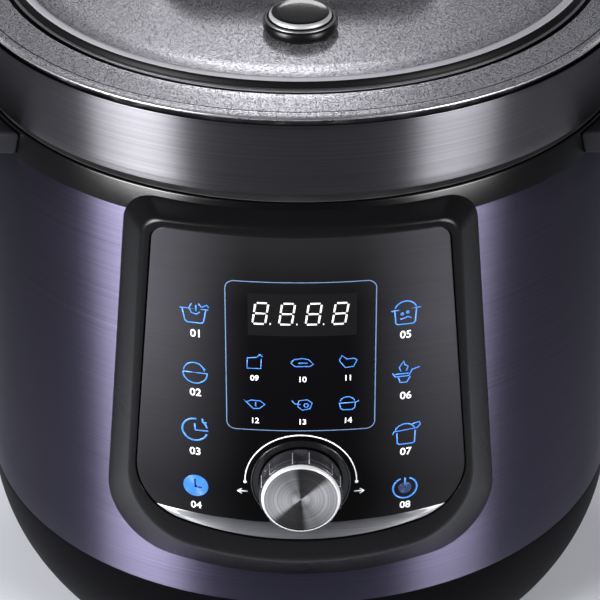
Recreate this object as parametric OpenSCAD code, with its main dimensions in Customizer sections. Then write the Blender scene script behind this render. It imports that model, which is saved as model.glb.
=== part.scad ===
// Electric pressure cooker with a twist-lock lid, a curved front control panel and a lift-out pot.
// Millimetres. The origin is on the floor under the body's axis, +Z up, the control panel faces -Y.

/* [Body] */
// Outer radius of the steel sleeve
sleeve_r = 145; // [141:1:149]
// Thickness of the sleeve's sheet
sleeve_t = 0.8; // [0.6:0.1:1.2]
// Height at which the sleeve starts above the floor
sleeve_bottom = 57; // [54:1:60]
// Height of the sleeve's upper edge
sleeve_top = 245.4; // [245:0.1:246]
// Height of the neck ring above the sleeve
neck_h = 11; // [10.8:0.1:11.4]
// How far the neck ring draws in towards its top
neck_taper = 2; // [0.5:0.5:2.5]
// Height of the feet
foot_h = 5; // [3:1:6]
// Radius of the rounded flank of the base
base_flank_r = 86; // [84:1:90]
// Reach of each side handle from the axis
handle_reach = 170; // [162:1:185]

/* [Panel] */
// Radius of the panel's curved front
panel_r = 205; // [195:5:220]
// Reach of the panel's front from the axis, at the lean's foot
panel_reach = 158; // [157:0.5:160]
// Lean of the panel's front, in degrees
panel_lean = 3; // [2:0.5:4]
// Thickness of the lens
lens_t = 2; // [1.6:0.2:2.4]
// Height of the knob's axis above the lean's foot
knob_up = 30; // [28:1:32]
// Radius of the knob's metal cap
knob_cap_r = 16.3; // [14:0.1:17]
// Reach of the knob in front of the lens
knob_reach = 12.6; // [11:0.2:14]

/* [Pots] */
// Outer radius of the lift-out pot
pot_r = 112; // [108:1:113]
// Wall of the lift-out pot
pot_t = 2; // [1.5:0.5:2]
// Height of the hot plate's top above the floor
plate_top = 74; // [72:1:78]
// Height of the lift-out pot's rim above the floor
pot_rim = 244; // [243.5:0.1:244]
// Inner radius of the fixed outer pot
liner_r = 120.5; // [120:0.1:121]
// Count of bayonet teeth and of lugs
tooth_count = 6; // [6:1:6]
// Angle that one tooth spans
tooth_span = 26; // [20:1:27]

/* [Lid] */
// Gap between the neck ring and the lid
lid_gap = 4.4; // [4:0.1:5]
// Height of the brushed band
band_h = 32; // [30:1:34]
// Radius of the band at its top
band_top_r = 146.9; // [146:0.1:147]
// Radius of the band at its bottom
band_bottom_r = 144.2; // [144:0.1:145]
// Radius of the lid's metal bead at its lip
bead_r = 128.2; // [127:0.1:129]
// Height of the arched handle above the lid
grip_h = 31; // [28:1:36]
// Distance of the steam button in front of the axis
button_y = 95; // [95:1:97]
// Travel of the steam button
button_travel = 3; // [2:0.5:3]
// Distance of the pressure valve behind the axis
valve_y = 72; // [72:1:74]

/* [Hidden] */
$fn = 96;
eps = 0.01;

neck_top = sleeve_top + neck_h;
liner_t = 2;
channel_r = liner_r + 10;        // inside of the channel in which the lid's lugs turn
channel_floor = sleeve_top + 0.6;
tooth_r = channel_r - 5;
tooth_t = 4;
flange_r = 141;
rim_wall_r = tooth_r - 0.6;      // outside of the inner lid's wall, just inside the teeth
lug_r = channel_r - 0.6;
lug_span = 60 - tooth_span - 8;  // four degrees of play on each side of a lug
seal_r = liner_r - 0.6;
ring_in = bead_r + 1.6;           // inner edge of the lid's outer ring
band_z0 = neck_top + lid_gap;
band_z1 = band_z0 + band_h;
ring_z = band_z1 + 2.4;          // lower edge of the lid's outer ring
deck_z = band_z1 + 3.2;          // top of the lid shell's deck
pad_z = deck_z + 1.4;            // raised middle of the deck, under the plate
plate_z = deck_z + 5.2;          // top of the plate
rocker_z = band_z1 - 8;
pivot_y = -12;
pin_r = 2.5;
float_at = [40, 52];
board_out = -14;                 // front of the control board, behind the lens face
trim_top = 110.3;                // height of the crescent's upper edge at its middle
trim_arc_r = 439;
window_w = 112;                  // opening in the sleeve behind the panel
window_z0 = 111;
window_z1 = 240;
cup_back = handle_reach;
base_arc = [59, sleeve_bottom];  // centre of the rounded flank
floor_z = foot_h + 3;

// An outline with each corner rounded by its own radius: corners are [x, y, radius].
function unit(v) = v / norm(v);
function fillet(p, q, s, n) = let(
    a = unit([p[0] - q[0], p[1] - q[1]]),
    b = unit([s[0] - q[0], s[1] - q[1]]),
    half = acos(a * b) / 2,
    c = [q[0], q[1]] + unit(a + b) * q[2] / sin(half),
    t0 = [q[0], q[1]] + a * q[2] / tan(half) - c,
    t1 = [q[0], q[1]] + b * q[2] / tan(half) - c,
    start = atan2(t0[1], t0[0]),
    turn = (atan2(t1[1], t1[0]) - start + 540) % 360 - 180
) [for (i = [0:n]) c + q[2] * [cos(start + turn * i / n), sin(start + turn * i / n)]];
function rounded(c, n = 6) = [
    for (i = [0:len(c) - 1])
        each fillet(c[(i + len(c) - 1) % len(c)], c[i], c[(i + 1) % len(c)], n)
];

// Corners of a panel outline, mirrored about its centre line, from the top round to the bottom.
function mirrored(c) = concat(
    [[0, c[0][1], c[0][2]]],
    [for (i = [1:len(c) - 2]) c[i]],
    [[0, c[len(c) - 1][1], c[len(c) - 1][2]]],
    [for (i = [len(c) - 2:-1:1]) [-c[i][0], c[i][1], c[i][2]]]
);
sleeve_outline = mirrored([[0, 255.6, 600], [69, 254.4, 12], [83.6, 77, 24], [0, 72, 520]]);
crease_outline = mirrored([[0, 255, 400], [61.4, 249.4, 11], [74, 98, 24], [0, 84, 240]]);
function lens_outline(inset) = mirrored([
    [0, 253 - inset, 400 - inset], [57.7 - inset, 247 - inset, 9 - inset],
    [70 - inset, 112 + inset, 19 - inset], [0, 95.1 + inset, 215 - inset]
]);

module ring(r0, r1, z0, z1) {
    translate([0, 0, z0]) difference() {
        cylinder(r = r1, h = z1 - z0);
        translate([0, 0, -1]) cylinder(r = r0, h = z1 - z0 + 2);
    }
}
module around(count, first = 0) {
    for (i = [0:count - 1]) rotate(first + i * 360 / count) children();
}
module sector(r0, r1, span, z0, z1) {
    translate([0, 0, z0]) rotate(-span / 2) rotate_extrude(angle = span) translate([r0, 0]) square([r1 - r0, z1 - z0]);
}
// Stands an outline drawn in x and z up in the front of the body, from depth y0 to y1.
module upright(points, y0, y1) {
    translate([0, y1, 0]) rotate([90, 0, 0]) linear_extrude(y1 - y0) polygon(points);
}
// The leaning frame of the panel's front: x across, z up along the face, -y out of it.
module on_panel(x = 0, up = 0, out = 0) {
    translate([0, -panel_reach, 100]) rotate([-panel_lean, 0, 0]) translate([x, -out, up]) children();
}
// A round bar whose axis leaves the panel's face, from depth out0 to out1.
module panel_pin(r, out0, out1) {
    translate([0, -out0, 0]) rotate([90, 0, 0]) cylinder(r = r, h = out1 - out0);
}
module front_face(depth) {
    on_panel() translate([0, panel_r, -60]) cylinder(r = panel_r - depth, h = 260);
}
module neck_cone() {
    translate([0, 0, sleeve_top]) cylinder(r1 = sleeve_r, r2 = sleeve_r - neck_taper, h = neck_h);
}

// ---- base ----
module flank(r, z0) {
    rotate_extrude() intersection() {
        translate(base_arc) circle(r = r);
        translate([0, z0]) square([sleeve_r + 5, sleeve_bottom - z0]);
    }
}
module inlet_space(grow) {
    translate([-14 - grow, 112, 19 - grow]) cube([28 + 2 * grow, 40, 20 + 2 * grow]);
}
module base_shell() {
    color([0.17, 0.17, 0.19]) difference() {
        union() {
            flank(base_flank_r, foot_h);
            ring(sleeve_r - sleeve_t - 2.7, sleeve_r - sleeve_t - 0.1, sleeve_bottom - 4, sleeve_bottom + 6);
        }
        difference() {
            flank(base_flank_r - 3, floor_z);
            ring(sleeve_r - sleeve_t - 2.7, sleeve_r, sleeve_bottom - 4, sleeve_bottom);
        }
        translate([0, 0, foot_h - 1]) cylinder(r = 110, h = 5);
        around(4, 45) translate([115, 0, foot_h - 1]) cylinder(r = 2.2, h = 5);
        around(4, 45) translate([115, 0, foot_h - 1]) cylinder(r = 4, h = 2.6);
        inlet_space(0);
    }
}
module base_plate() {
    color([0.2, 0.2, 0.22]) difference() {
        union() {
            translate([0, 0, floor_z]) cylinder(r = 121, h = 2);
            around(4, 45) translate([115, 0, floor_z]) cylinder(r = 4.5, h = 12);
            for (x = [-40, 40], y = [-26, 26]) translate([x, y, floor_z]) cylinder(r = 3, h = 6);
        }
        around(4, 45) translate([115, 0, floor_z - 1]) cylinder(r = 1.6, h = 11);
        for (side = [-1, 1], i = [-4:4]) translate([side * 70 - 16, i * 8 - 1.5, floor_z - 1]) cube([32, 3, 4]);
    }
}
module base_screws() {
    color("silver") around(4, 45) translate([115, 0, 0]) {
        translate([0, 0, foot_h + 0.2]) cylinder(r = 3.6, h = 1.4);
        translate([0, 0, foot_h + 1.5]) cylinder(r = 1.6, h = 11.4);
    }
}
module foot(facing) {
    color([0.08, 0.08, 0.08]) rotate(facing) difference() {
        sector(107, 127, 104, 0, foot_h);
        around(4, 45 - facing) translate([115, 0, -1]) cylinder(r = 6, h = foot_h + 2);
    }
}
module foot_front() foot(-90);
module foot_rear() foot(90);

// ---- sleeve, neck and side handles ----
module outer_sleeve() {
    color([0.27, 0.26, 0.33]) difference() {
        ring(sleeve_r - sleeve_t, sleeve_r, sleeve_bottom, sleeve_top);
        translate([-window_w / 2, -sleeve_r - 5, window_z0]) cube([window_w, 60, window_z1 - window_z0]);
    }
}
module neck_ring() {
    color([0.2, 0.2, 0.21]) intersection() {
        union() {
            neck_cone();
            translate([0, 0, sleeve_top - 8]) cylinder(r = sleeve_r - sleeve_t - 0.1, h = 8 + eps);
        }
        rotate_extrude() difference() {
            translate([liner_r + 13.5, sleeve_top - 8]) square([20, neck_h + 8]);
            translate([0, neck_top - liner_t]) square([flange_r + 0.2, 10]);
            translate([0, sleeve_top - 10]) square([sleeve_r - 3.6, neck_h + 10 - 4.4]);
        }
    }
}
function handle_corners() = [
    [100, -86, 1], [140, -84, 30], [handle_reach, -50, 36], [handle_reach, 50, 36], [140, 84, 30], [100, 86, 1]
];
function grip_corners() = [
    [100, -60, 1], [140, -70, 26], [handle_reach - 5, -44, 30], [handle_reach - 5, 44, 30], [140, 70, 26], [100, 60, 1]
];
module handle() {
    color([0.11, 0.11, 0.12]) difference() {
        translate([0, 0, sleeve_top + 0.4]) linear_extrude(neck_h - 1) polygon(rounded(handle_corners()));
        difference() {
            translate([0, 0, sleeve_top - 1]) linear_extrude(neck_h - 3) polygon(rounded(grip_corners()));
            translate([0, 0, sleeve_top - 2]) cylinder(r = sleeve_r + 3, h = neck_h + 4);
        }
        neck_cone();
        translate([0, 0, sleeve_top - 1]) cylinder(r = sleeve_r, h = 1);
    }
}
module handle_right() handle();
module handle_left() mirror([1, 0, 0]) handle();

// ---- control panel ----
// One convex loft joins the outline on the sleeve to the crease round the leaning front.
module panel_loft() {
    hull() {
        intersection() {
            upright(rounded(sleeve_outline), -sleeve_r - 2, -100);
            ring(sleeve_r - 1.5, sleeve_r, 60, 270);
        }
        intersection() {
            upright(rounded(crease_outline), -panel_reach - 2, -120);
            difference() {
                front_face(-1);
                front_face(0);
            }
        }
    }
}
module lens_space(inset, front, back) {
    difference() {
        intersection() {
            upright(rounded(lens_outline(inset)), -panel_reach - 3, -120);
            front_face(front);
        }
        front_face(back);
    }
}
boss_r = 5.5;
boss_at = [[-51.5, 128], [51.5, 128], [-50.5, 15.5], [50.5, 15.5]];
// Depth of the lens shelf behind the face at a distance x from the centre line.
function shelf_out(x) = sqrt(pow(panel_r, 2) - pow(x, 2)) - panel_r - lens_t - 0.4;
module panel_frame() {
    color([0.13, 0.12, 0.15]) {
        difference() {
            intersection() {
                panel_loft();
                front_face(0);
            }
            translate([0, 0, 50]) cylinder(r = sleeve_r, h = sleeve_top - 50);
            neck_cone();
            lens_space(0, -1, lens_t + 0.4);
            upright(rounded(lens_outline(3.6)), -panel_reach, -100);
        }
        for (b = boss_at) on_panel(b[0], b[1]) difference() {
            panel_pin(boss_r, board_out, shelf_out(abs(b[0]) + boss_r) - 0.4);
            panel_pin(1.5, board_out - 1, board_out + 6);
        }
    }
}
module panel_lens() {
    color([0.03, 0.03, 0.04]) difference() {
        lens_space(0.35, 0.4, lens_t + 0.4);
        on_panel(0, knob_up) panel_pin(4, -6, 3);
        trim_space(1.45);
    }
}
// The bright crescent is let into the lens along its lower edge, down to a depth.
module trim_space(depth) {
    difference() {
        lens_space(0.35, 0.2, depth, $fn = 480);
        translate([0, -100, trim_top + trim_arc_r]) rotate([90, 0, 0]) cylinder(r = trim_arc_r, h = 80, $fn = 480);
    }
}
module trim_strip() {
    color([0.8, 0.8, 0.82]) trim_space(1.4);
}
module display_module() {
    color([0.1, 0.1, 0.3]) on_panel(0, 110, board_out) translate([-26, -9, -12.5]) cube([52, 9, 25]);
}
module control_board() {
    color([0.1, 0.35, 0.2]) difference() {
        on_panel(0, 0, board_out) translate([-54, 0, 12.6]) cube([108, 1.6, 123]);
        for (b = boss_at) on_panel(b[0], b[1]) panel_pin(1.5, board_out - 3, board_out + 3);
    }
}
module rotary_encoder() {
    color([0.6, 0.6, 0.62]) on_panel(0, knob_up) difference() {
        union() {
            translate([-7, -board_out - 6, -7]) cube([14, 6, 14]);
            panel_pin(3.8, board_out + 6 - eps, -3);
        }
        panel_pin(2.55, board_out - 1, 0);
    }
}
module panel_screws() {
    color("silver") for (b = boss_at) on_panel(b[0], b[1]) {
        panel_pin(2.8, board_out - 3.2, board_out - 1.6);
        panel_pin(1.45, board_out - 1.6 - eps, board_out + 2.6);
    }
}
// A flat cable drops from the control board inside the sleeve and runs under the hot plate.
module board_cable() {
    color([0.75, 0.75, 0.72]) translate([9, 0, 0]) rotate([90, 0, -90]) linear_extrude(18) polygon([
        [141.6, 113.5], [127, 113.5], [127, 16], [31, 16], [31, 17.2], [125.8, 17.2], [125.8, 114.7], [141.6, 114.7]
    ]);
}

// ---- outer pot, hot plate and what hangs under it ----
module outer_pot() {
    color([0.72, 0.72, 0.74]) {
        rotate_extrude() polygon([
            [100, plate_top - 12], [liner_r + liner_t, plate_top - 12], [liner_r + liner_t, channel_floor - liner_t],
            [channel_r + liner_t, channel_floor - liner_t], [channel_r + liner_t, neck_top - liner_t],
            [flange_r, neck_top - liner_t], [flange_r, neck_top], [channel_r, neck_top],
            [channel_r, channel_floor], [liner_r, channel_floor], [liner_r, plate_top - 10], [100, plate_top - 10]
        ]);
        around(tooth_count) sector(tooth_r, channel_r + eps, tooth_span, neck_top - tooth_t, neck_top);
    }
}
module element_ring() {
    translate([0, 0, plate_top - 14]) rotate_extrude() translate([66, 0]) circle(r = 4.5);
}
module heating_plate() {
    color([0.62, 0.62, 0.63]) difference() {
        rotate_extrude() polygon([
            [13, plate_top - 12], [13, plate_top - 1], [14, plate_top], [92, plate_top], [96, plate_top - 3],
            [97, plate_top - 7.6], [106, plate_top - 7.6], [106, plate_top - 10], [99.6, plate_top - 10],
            [99.6, plate_top - 14], [50, plate_top - 14], [46, plate_top - 8], [20, plate_top - 8], [18, plate_top - 12]
        ]);
        element_ring();
    }
}
module heating_element() {
    color([0.35, 0.35, 0.36]) {
        element_ring();
        for (side = [-1, 1]) translate([side * 12, 64.9, plate_top - 30]) cylinder(r = 3, h = 14);
    }
}
module probe_bracket() {
    color([0.7, 0.7, 0.72]) {
        ring(13, 18, plate_top - 14, plate_top - 12);
        ring(13, 14.5, plate_top - 28, plate_top - 13.9);
        ring(4, 14.5, plate_top - 29.5, plate_top - 28);
    }
}
module thermal_probe() {
    color([0.8, 0.8, 0.82]) {
        translate([0, 0, plate_top - 14]) cylinder(r = 12.4, h = 12.7);
        translate([0, 0, plate_top - 1.31]) cylinder(r1 = 12.4, r2 = 11.4, h = 1);
        translate([0, 0, plate_top - 22]) cylinder(r = 3, h = 9);
    }
}
module probe_spring() {
    color([0.5, 0.5, 0.5]) ring(6, 8, plate_top - 28, plate_top - 14);
}
module pressure_switch() {
    color([0.9, 0.9, 0.86]) translate([-76, -46, plate_top - 28]) {
        translate([-9, -7, 0]) cube([18, 14, 12]);
        translate([0, 0, 11]) cylinder(r = 4, h = 3);
    }
}
module thermal_fuse() {
    color([0.85, 0.8, 0.7]) translate([24, 22, plate_top - 10.4]) {
        translate([-8, -3, 0.2]) cube([16, 6, 2.2]);
        translate([-10, 0, 0]) rotate([0, 90, 0]) cylinder(r = 2.4, h = 20);
    }
}
module power_board() {
    board_z = floor_z + 6;
    color([0.12, 0.3, 0.18]) {
        difference() {
            translate([-45, -32, board_z]) cube([90, 64, 1.6]);
            for (x = [-40, 40], y = [-26, 26]) translate([x, y, board_z - 1]) cylinder(r = 1.2, h = 4);
        }
        translate([-38, -18, board_z + 1.5]) cube([26, 22, 18]);
        translate([-4, 8, board_z + 1.5]) cube([20, 16, 15]);
        for (i = [0:2]) translate([24, -16 + i * 13, board_z + 1.5]) cylinder(r = 5, h = 14);
        translate([-9.5, -31, board_z + 1.5]) cube([19, 7, 8]);
    }
}
module power_inlet() {
    color([0.05, 0.05, 0.05]) {
        difference() {
            intersection() {
                inlet_space(0);
                translate([0, 0, 1]) flank(base_flank_r - 1.5, floor_z);
                translate([-20, 118, 10]) cube([40, 40, 40]);
            }
            difference() {
                translate([-12, 121, 21]) cube([24, 40, 16]);
                translate([-7, 120, 27]) cube([2, 9, 4]);
                translate([5, 120, 27]) cube([2, 9, 4]);
                translate([-1, 120, 23]) cube([2, 9, 4]);
            }
        }
    }
}

// ---- condensate cup at the back ----
module cup_hanger() {
    color([0.12, 0.12, 0.13]) difference() {
        union() {
            translate([-32, 130, 241.4]) cube([64, cup_back - 132, 3.6]);
            for (side = [-1, 1]) translate([side * 30.6 - 1.4, 130, 233]) cube([2.8, cup_back - 132, 9]);
            for (side = [-1, 1]) translate([side * 28.6 - 1.4, 130, 233]) cube([2.8, cup_back - 132, 2]);
            translate([-32, 130, 226]) cube([64, 16.4, 18]);
        }
        translate([0, 0, 200]) cylinder(r = sleeve_r, h = 60);
        translate([-5, 147, 240]) cube([10, 12, 8]);
    }
}
module cup_body(inset, z0, z1) {
    translate([0, 0, z0]) linear_extrude(z1 - z0) polygon(rounded([
        [-26.6 + inset, 148 + inset, 2], [26.6 - inset, 148 + inset, 2],
        [26.6 - inset, cup_back - inset, 7 - inset], [-26.6 + inset, cup_back - inset, 7 - inset]
    ]));
}
module condensate_cup() {
    color([0.75, 0.78, 0.8, 0.5]) difference() {
        union() {
            cup_body(0, 186, 240.6);
            translate([-28.7, 148, 235.3]) cube([57.4, cup_back - 153, 2]);
        }
        cup_body(1.8, 188, 245);
    }
}

// ---- knob ----
module knob_skirt() {
    color([0.7, 0.7, 0.75, 0.6]) on_panel(0, knob_up) difference() {
        union() {
            panel_pin(17, 0.6, 5.4);
            for (i = [0:35]) rotate([0, i * 10, 0]) translate([17, 0, 0]) panel_pin(0.75, 0.6, 5.4);
        }
        panel_pin(14.5, 0, 6);
    }
}
module knob_cap() {
    color([0.8, 0.8, 0.82]) on_panel(0, knob_up) difference() {
        union() {
            panel_pin(14.5, 0.6, 5.5);
            panel_pin(knob_cap_r, 5.4, knob_reach - 1);
            translate([0, 1 - knob_reach, 0]) rotate([90, 0, 0]) cylinder(r1 = knob_cap_r, r2 = knob_cap_r - 1, h = 1);
        }
        difference() {
            panel_pin(13, 0, knob_reach - 2.2);
            panel_pin(5.5, 0, knob_reach);
        }
        panel_pin(2.5, 0, knob_reach - 3);
    }
}
module knob_shaft() {
    color([0.7, 0.7, 0.7]) on_panel(0, knob_up) panel_pin(2.5, board_out + 0.3, knob_reach - 3);
}

// ---- lift-out pot and gasket ----
module inner_pot() {
    color([0.78, 0.78, 0.8]) rotate_extrude() difference() {
        union() {
            translate([0, plate_top]) square([pot_r, pot_rim - plate_top - 2]);
            translate([0, pot_rim - 2]) square([pot_r + 6.5, 2]);
        }
        translate([0, plate_top + 22]) square([pot_r - pot_t, 300]);
        translate([0, plate_top + pot_t]) square([pot_r - 22, 40]);
        translate([pot_r - 22, plate_top + 22]) circle(r = 22 - pot_t);
        difference() {
            translate([pot_r - 22, plate_top - 1]) square([40, 23]);
            translate([pot_r - 22, plate_top + 22]) circle(r = 22);
        }
    }
}
module sealing_ring() {
    color([0.85, 0.85, 0.83]) difference() {
        ring(seal_r - 10.5, seal_r, pot_rim + 0.3, neck_top - 0.7);
        ring(seal_r - 12, seal_r - 3.5, pot_rim + 3.4, pot_rim + 6.4);
    }
}

// ---- lid ----
module lid_drill(r, at) {
    translate([at[0], at[1], neck_top - 20]) cylinder(r = r, h = 100);
}
module inner_lid() {
    color([0.75, 0.75, 0.77]) difference() {
        union() {
            translate([0, 0, neck_top - 0.4]) cylinder(r = rim_wall_r, h = 2.4);
            ring(rim_wall_r - 3.9, rim_wall_r, channel_floor + 1, neck_top);
            around(tooth_count, 30) sector(rim_wall_r - 2, lug_r, lug_span, neck_top - tooth_t - 4.6, neck_top - tooth_t - 0.6);
            around(3, 90) translate([100, 0, neck_top + 1]) cylinder(r = 5, h = deck_z - 3.2 - neck_top - 1);
        }
        lid_drill(5, [0, valve_y]);
        lid_drill(3.9, float_at);
    }
}
module lid_shell() color([0.07, 0.07, 0.08]) {
    difference() {
        rotate_extrude() difference() {
            polygon([
                [0, band_z0 + 0.6], [band_bottom_r - 1, band_z0 + 0.6], [band_top_r - 1, band_z1 - 0.2],
                [band_top_r - 2.4, ring_z], [ring_in, deck_z], [bead_r - 1.6, deck_z], [bead_r - 1.6, pad_z], [0, pad_z]
            ]);
            translate([0, band_z0 - 1]) square([rim_wall_r + 1, 5]);
            translate([0, band_z0 + 3]) square([band_bottom_r - 4, band_z1 - band_z0 - 3]);
        }
        lid_drill(3.9, [0, -button_y]);
        lid_drill(10.5, [0, valve_y]);
        lid_drill(5, float_at);
        for (side = [-1, 1]) lid_drill(2.2, [side * 50, 0]);
    }
    for (side = [-1, 1]) difference() {
        translate([side * 9.5 - 1.5, pivot_y - 5, rocker_z - 5]) cube([3, 10, band_z1 - rocker_z + 5 + eps]);
        translate([-20, pivot_y, rocker_z]) rotate([0, 90, 0]) cylinder(r = pin_r, h = 40);
    }
}
module lid_band() {
    color([0.3, 0.3, 0.32]) rotate_extrude() polygon([
        [band_bottom_r - 1, band_z0 + 0.6], [band_bottom_r - 1, band_z0], [band_bottom_r, band_z0],
        [band_top_r, band_z1], [band_top_r - 1, band_z1], [band_top_r - 1, band_z1 - 0.2]
    ]);
}
module lid_top_ring() {
    outer = band_top_r + 0.4;
    color([0.6, 0.6, 0.63]) rotate_extrude() polygon([
        [band_top_r - 2.4, ring_z], [outer - 0.6, ring_z - 0.4], [outer, ring_z], [outer - 0.1, ring_z + 0.8],
        [outer - 1.2, ring_z + 1.4], [ring_in, ring_z + 3.4], [ring_in, deck_z]
    ]);
}
module lid_bead() {
    color([0.85, 0.85, 0.87]) rotate_extrude() polygon([
        [bead_r - 7, pad_z], [bead_r - 7, plate_z], [bead_r - 6.4, plate_z + 0.5], [bead_r - 5, plate_z + 0.8],
        [bead_r - 3.6, plate_z + 0.5], [bead_r - 2.2, plate_z - 0.4], [bead_r - 1.2, plate_z - 1.6],
        [bead_r, plate_z - 2], [bead_r, plate_z - 2.6], [bead_r - 1.6, plate_z - 2.6], [bead_r - 1.6, pad_z]
    ]);
}
module lid_top_plate() {
    color([0.58, 0.57, 0.6]) difference() {
        translate([0, 0, pad_z]) cylinder(r = bead_r - 7, h = plate_z - pad_z);
        lid_drill(8, [0, -button_y]);
        lid_drill(10.5, [0, valve_y]);
        lid_drill(5, float_at);
        for (side = [-1, 1]) lid_drill(2.2, [side * 50, 0]);
    }
}
module lid_handle() {
    color([0.08, 0.08, 0.09]) difference() {
        intersection() {
            upright(rounded([
                [-74, plate_z, 0.5], [-70, plate_z + 6, 8], [-44, plate_z + grip_h, 16], [44, plate_z + grip_h, 16],
                [70, plate_z + 6, 8], [74, plate_z, 0.5]
            ]), -60, 60);
            translate([0, 0, plate_z]) linear_extrude(60) polygon(rounded([
                [-74, -22, 20], [-50, -26, 60], [50, -26, 60], [74, -22, 20],
                [74, 22, 20], [50, 26, 60], [-50, 26, 60], [-74, 22, 20]
            ]));
        }
        upright(rounded([
            [-38, plate_z + 4, 3], [-32, plate_z + grip_h - 11, 8], [32, plate_z + grip_h - 11, 8], [38, plate_z + 4, 3]
        ]), -60, 60);
        for (side = [-1, 1]) translate([side * 50, 0, plate_z - 1]) cylinder(r = 2, h = 13);
    }
}
module handle_screws() {
    color("silver") for (side = [-1, 1]) translate([side * 50, 0, 0]) {
        translate([0, 0, band_z1 - 2.5]) cylinder(r = 4, h = 2.5);
        translate([0, 0, band_z1 - eps]) cylinder(r = 2, h = plate_z + 10 - band_z1);
    }
}
module button_housing() {
    color([0.05, 0.05, 0.05]) translate([0, -button_y, 0]) ring(13.1, 15.4, plate_z, plate_z + 8.6);
}
module button_bezel() {
    color([0.9, 0.9, 0.92]) translate([0, -button_y, plate_z + 8.6]) rotate_extrude() polygon([
        [13.1, 0], [15.4, 0], [15.4, 0.5], [14.6, 1.4], [13.6, 1.4], [13.1, 1]
    ]);
}
module release_button() {
    color([0.03, 0.03, 0.03]) translate([0, -button_y, 0]) {
        difference() {
            union() {
                translate([0, 0, plate_z + 4.4]) cylinder(r = 12.7, h = 6.4);
                translate([0, 0, plate_z + 10.8]) cylinder(r1 = 12.7, r2 = 11.7, h = 0.8);
            }
            ring(3.5, 10.5, plate_z + 4, plate_z + 9);
        }
        translate([0, 0, rocker_z + 2.4]) cylinder(r = 3.5, h = plate_z + 6 - rocker_z);
    }
}
module button_spring() {
    color([0.6, 0.6, 0.6]) translate([0, -button_y, 0]) ring(4.6, 6.6, pad_z, plate_z + 9);
}
module release_rocker() {
    color([0.5, 0.5, 0.52]) difference() {
        union() {
            translate([-5, -button_y - 6, rocker_z - 2]) cube([10, button_y + valve_y - 16, 4]);
            translate([-11, valve_y - 26, rocker_z - 2]) cube([22, 12, 4]);
            for (side = [-1, 1]) translate([side * 9 - 2, valve_y - 20, rocker_z - 2]) cube([4, 26, 3]);
            for (side = [-1, 1]) translate([side * 9 - 2, valve_y - 2, rocker_z]) cube([4, 4, 2]);
            translate([-7.5, pivot_y, rocker_z]) rotate([0, 90, 0]) cylinder(r = 5, h = 15);
        }
        translate([-20, pivot_y, rocker_z]) rotate([0, 90, 0]) cylinder(r = pin_r + 0.05, h = 40);
    }
}
module rocker_pin() {
    color([0.8, 0.8, 0.8]) translate([-11.5, pivot_y, rocker_z]) rotate([0, 90, 0]) cylinder(r = pin_r, h = 23);
}
module valve_pipe() {
    color([0.7, 0.65, 0.5]) translate([0, valve_y, 0]) difference() {
        union() {
            translate([0, 0, neck_top - 3]) cylinder(r = 5, h = plate_z + 5 - neck_top);
            translate([0, 0, neck_top + 2]) cylinder(r = 8, h = 4);
        }
        translate([0, 0, neck_top - 4]) cylinder(r = 1.8, h = 100);
    }
}
module anti_block_cap() {
    color([0.8, 0.8, 0.8]) translate([0, valve_y, 0]) difference() {
        translate([0, 0, neck_top - 9.4]) cylinder(r = 11, h = 9);
        translate([0, 0, neck_top - 8.2]) cylinder(r = 9.8, h = 9);
        around(8) translate([8, 0, neck_top - 5]) rotate([0, 90, 0]) cylinder(r = 1.4, h = 6);
        around(6) translate([5.5, 0, neck_top - 10]) cylinder(r = 1.2, h = 3);
    }
}
module valve_weight() {
    color([0.1, 0.1, 0.1]) translate([0, valve_y, 0]) difference() {
        union() {
            translate([0, 0, rocker_z + 2.4]) cylinder(r = 9.5, h = plate_z - rocker_z);
            translate([0, 0, plate_z + 1.6]) cylinder(r = 14, h = 10);
            translate([0, 0, plate_z + 11.6]) cylinder(r1 = 14, r2 = 11, h = 3);
        }
        translate([0, 0, rocker_z]) cylinder(r = 5.8, h = plate_z + 5.4 - rocker_z);
        around(12) translate([15.4, 0, plate_z]) cylinder(r = 2.2, h = 30);
    }
}
module float_valve() {
    color([0.8, 0.2, 0.15]) translate([float_at[0], float_at[1], 0]) {
        translate([0, 0, neck_top - 8]) cylinder(r = 3.5, h = plate_z + 7.4 - neck_top);
        translate([0, 0, neck_top - 10]) cylinder(r = 6, h = 2.4);
    }
}

base_shell();
base_plate();
base_screws();
foot_front();
foot_rear();
outer_sleeve();
neck_ring();
handle_left();
handle_right();
panel_frame();
panel_lens();
trim_strip();
display_module();
control_board();
rotary_encoder();
panel_screws();
board_cable();
outer_pot();
heating_plate();
heating_element();
probe_bracket();
probe_spring();
pressure_switch();
thermal_fuse();
power_board();
power_inlet();
cup_hanger();
thermal_probe();
knob_skirt();
knob_cap();
knob_shaft();
inner_pot();
sealing_ring();
inner_lid();
lid_shell();
lid_band();
lid_top_ring();
lid_bead();
lid_top_plate();
lid_handle();
handle_screws();
button_housing();
button_bezel();
valve_pipe();
anti_block_cap();
rocker_pin();
release_button();
button_spring();
release_rocker();
valve_weight();
float_valve();
condensate_cup();
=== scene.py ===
# An electric pressure cooker: a brushed dark sleeve on a rounded base, a leaning control panel with a
# knob, and a twist-lock lid with a metallic top. Lengths are in millimetres until a mesh is made, except in
# shaders and lamps, which take metres.
import math

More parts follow.
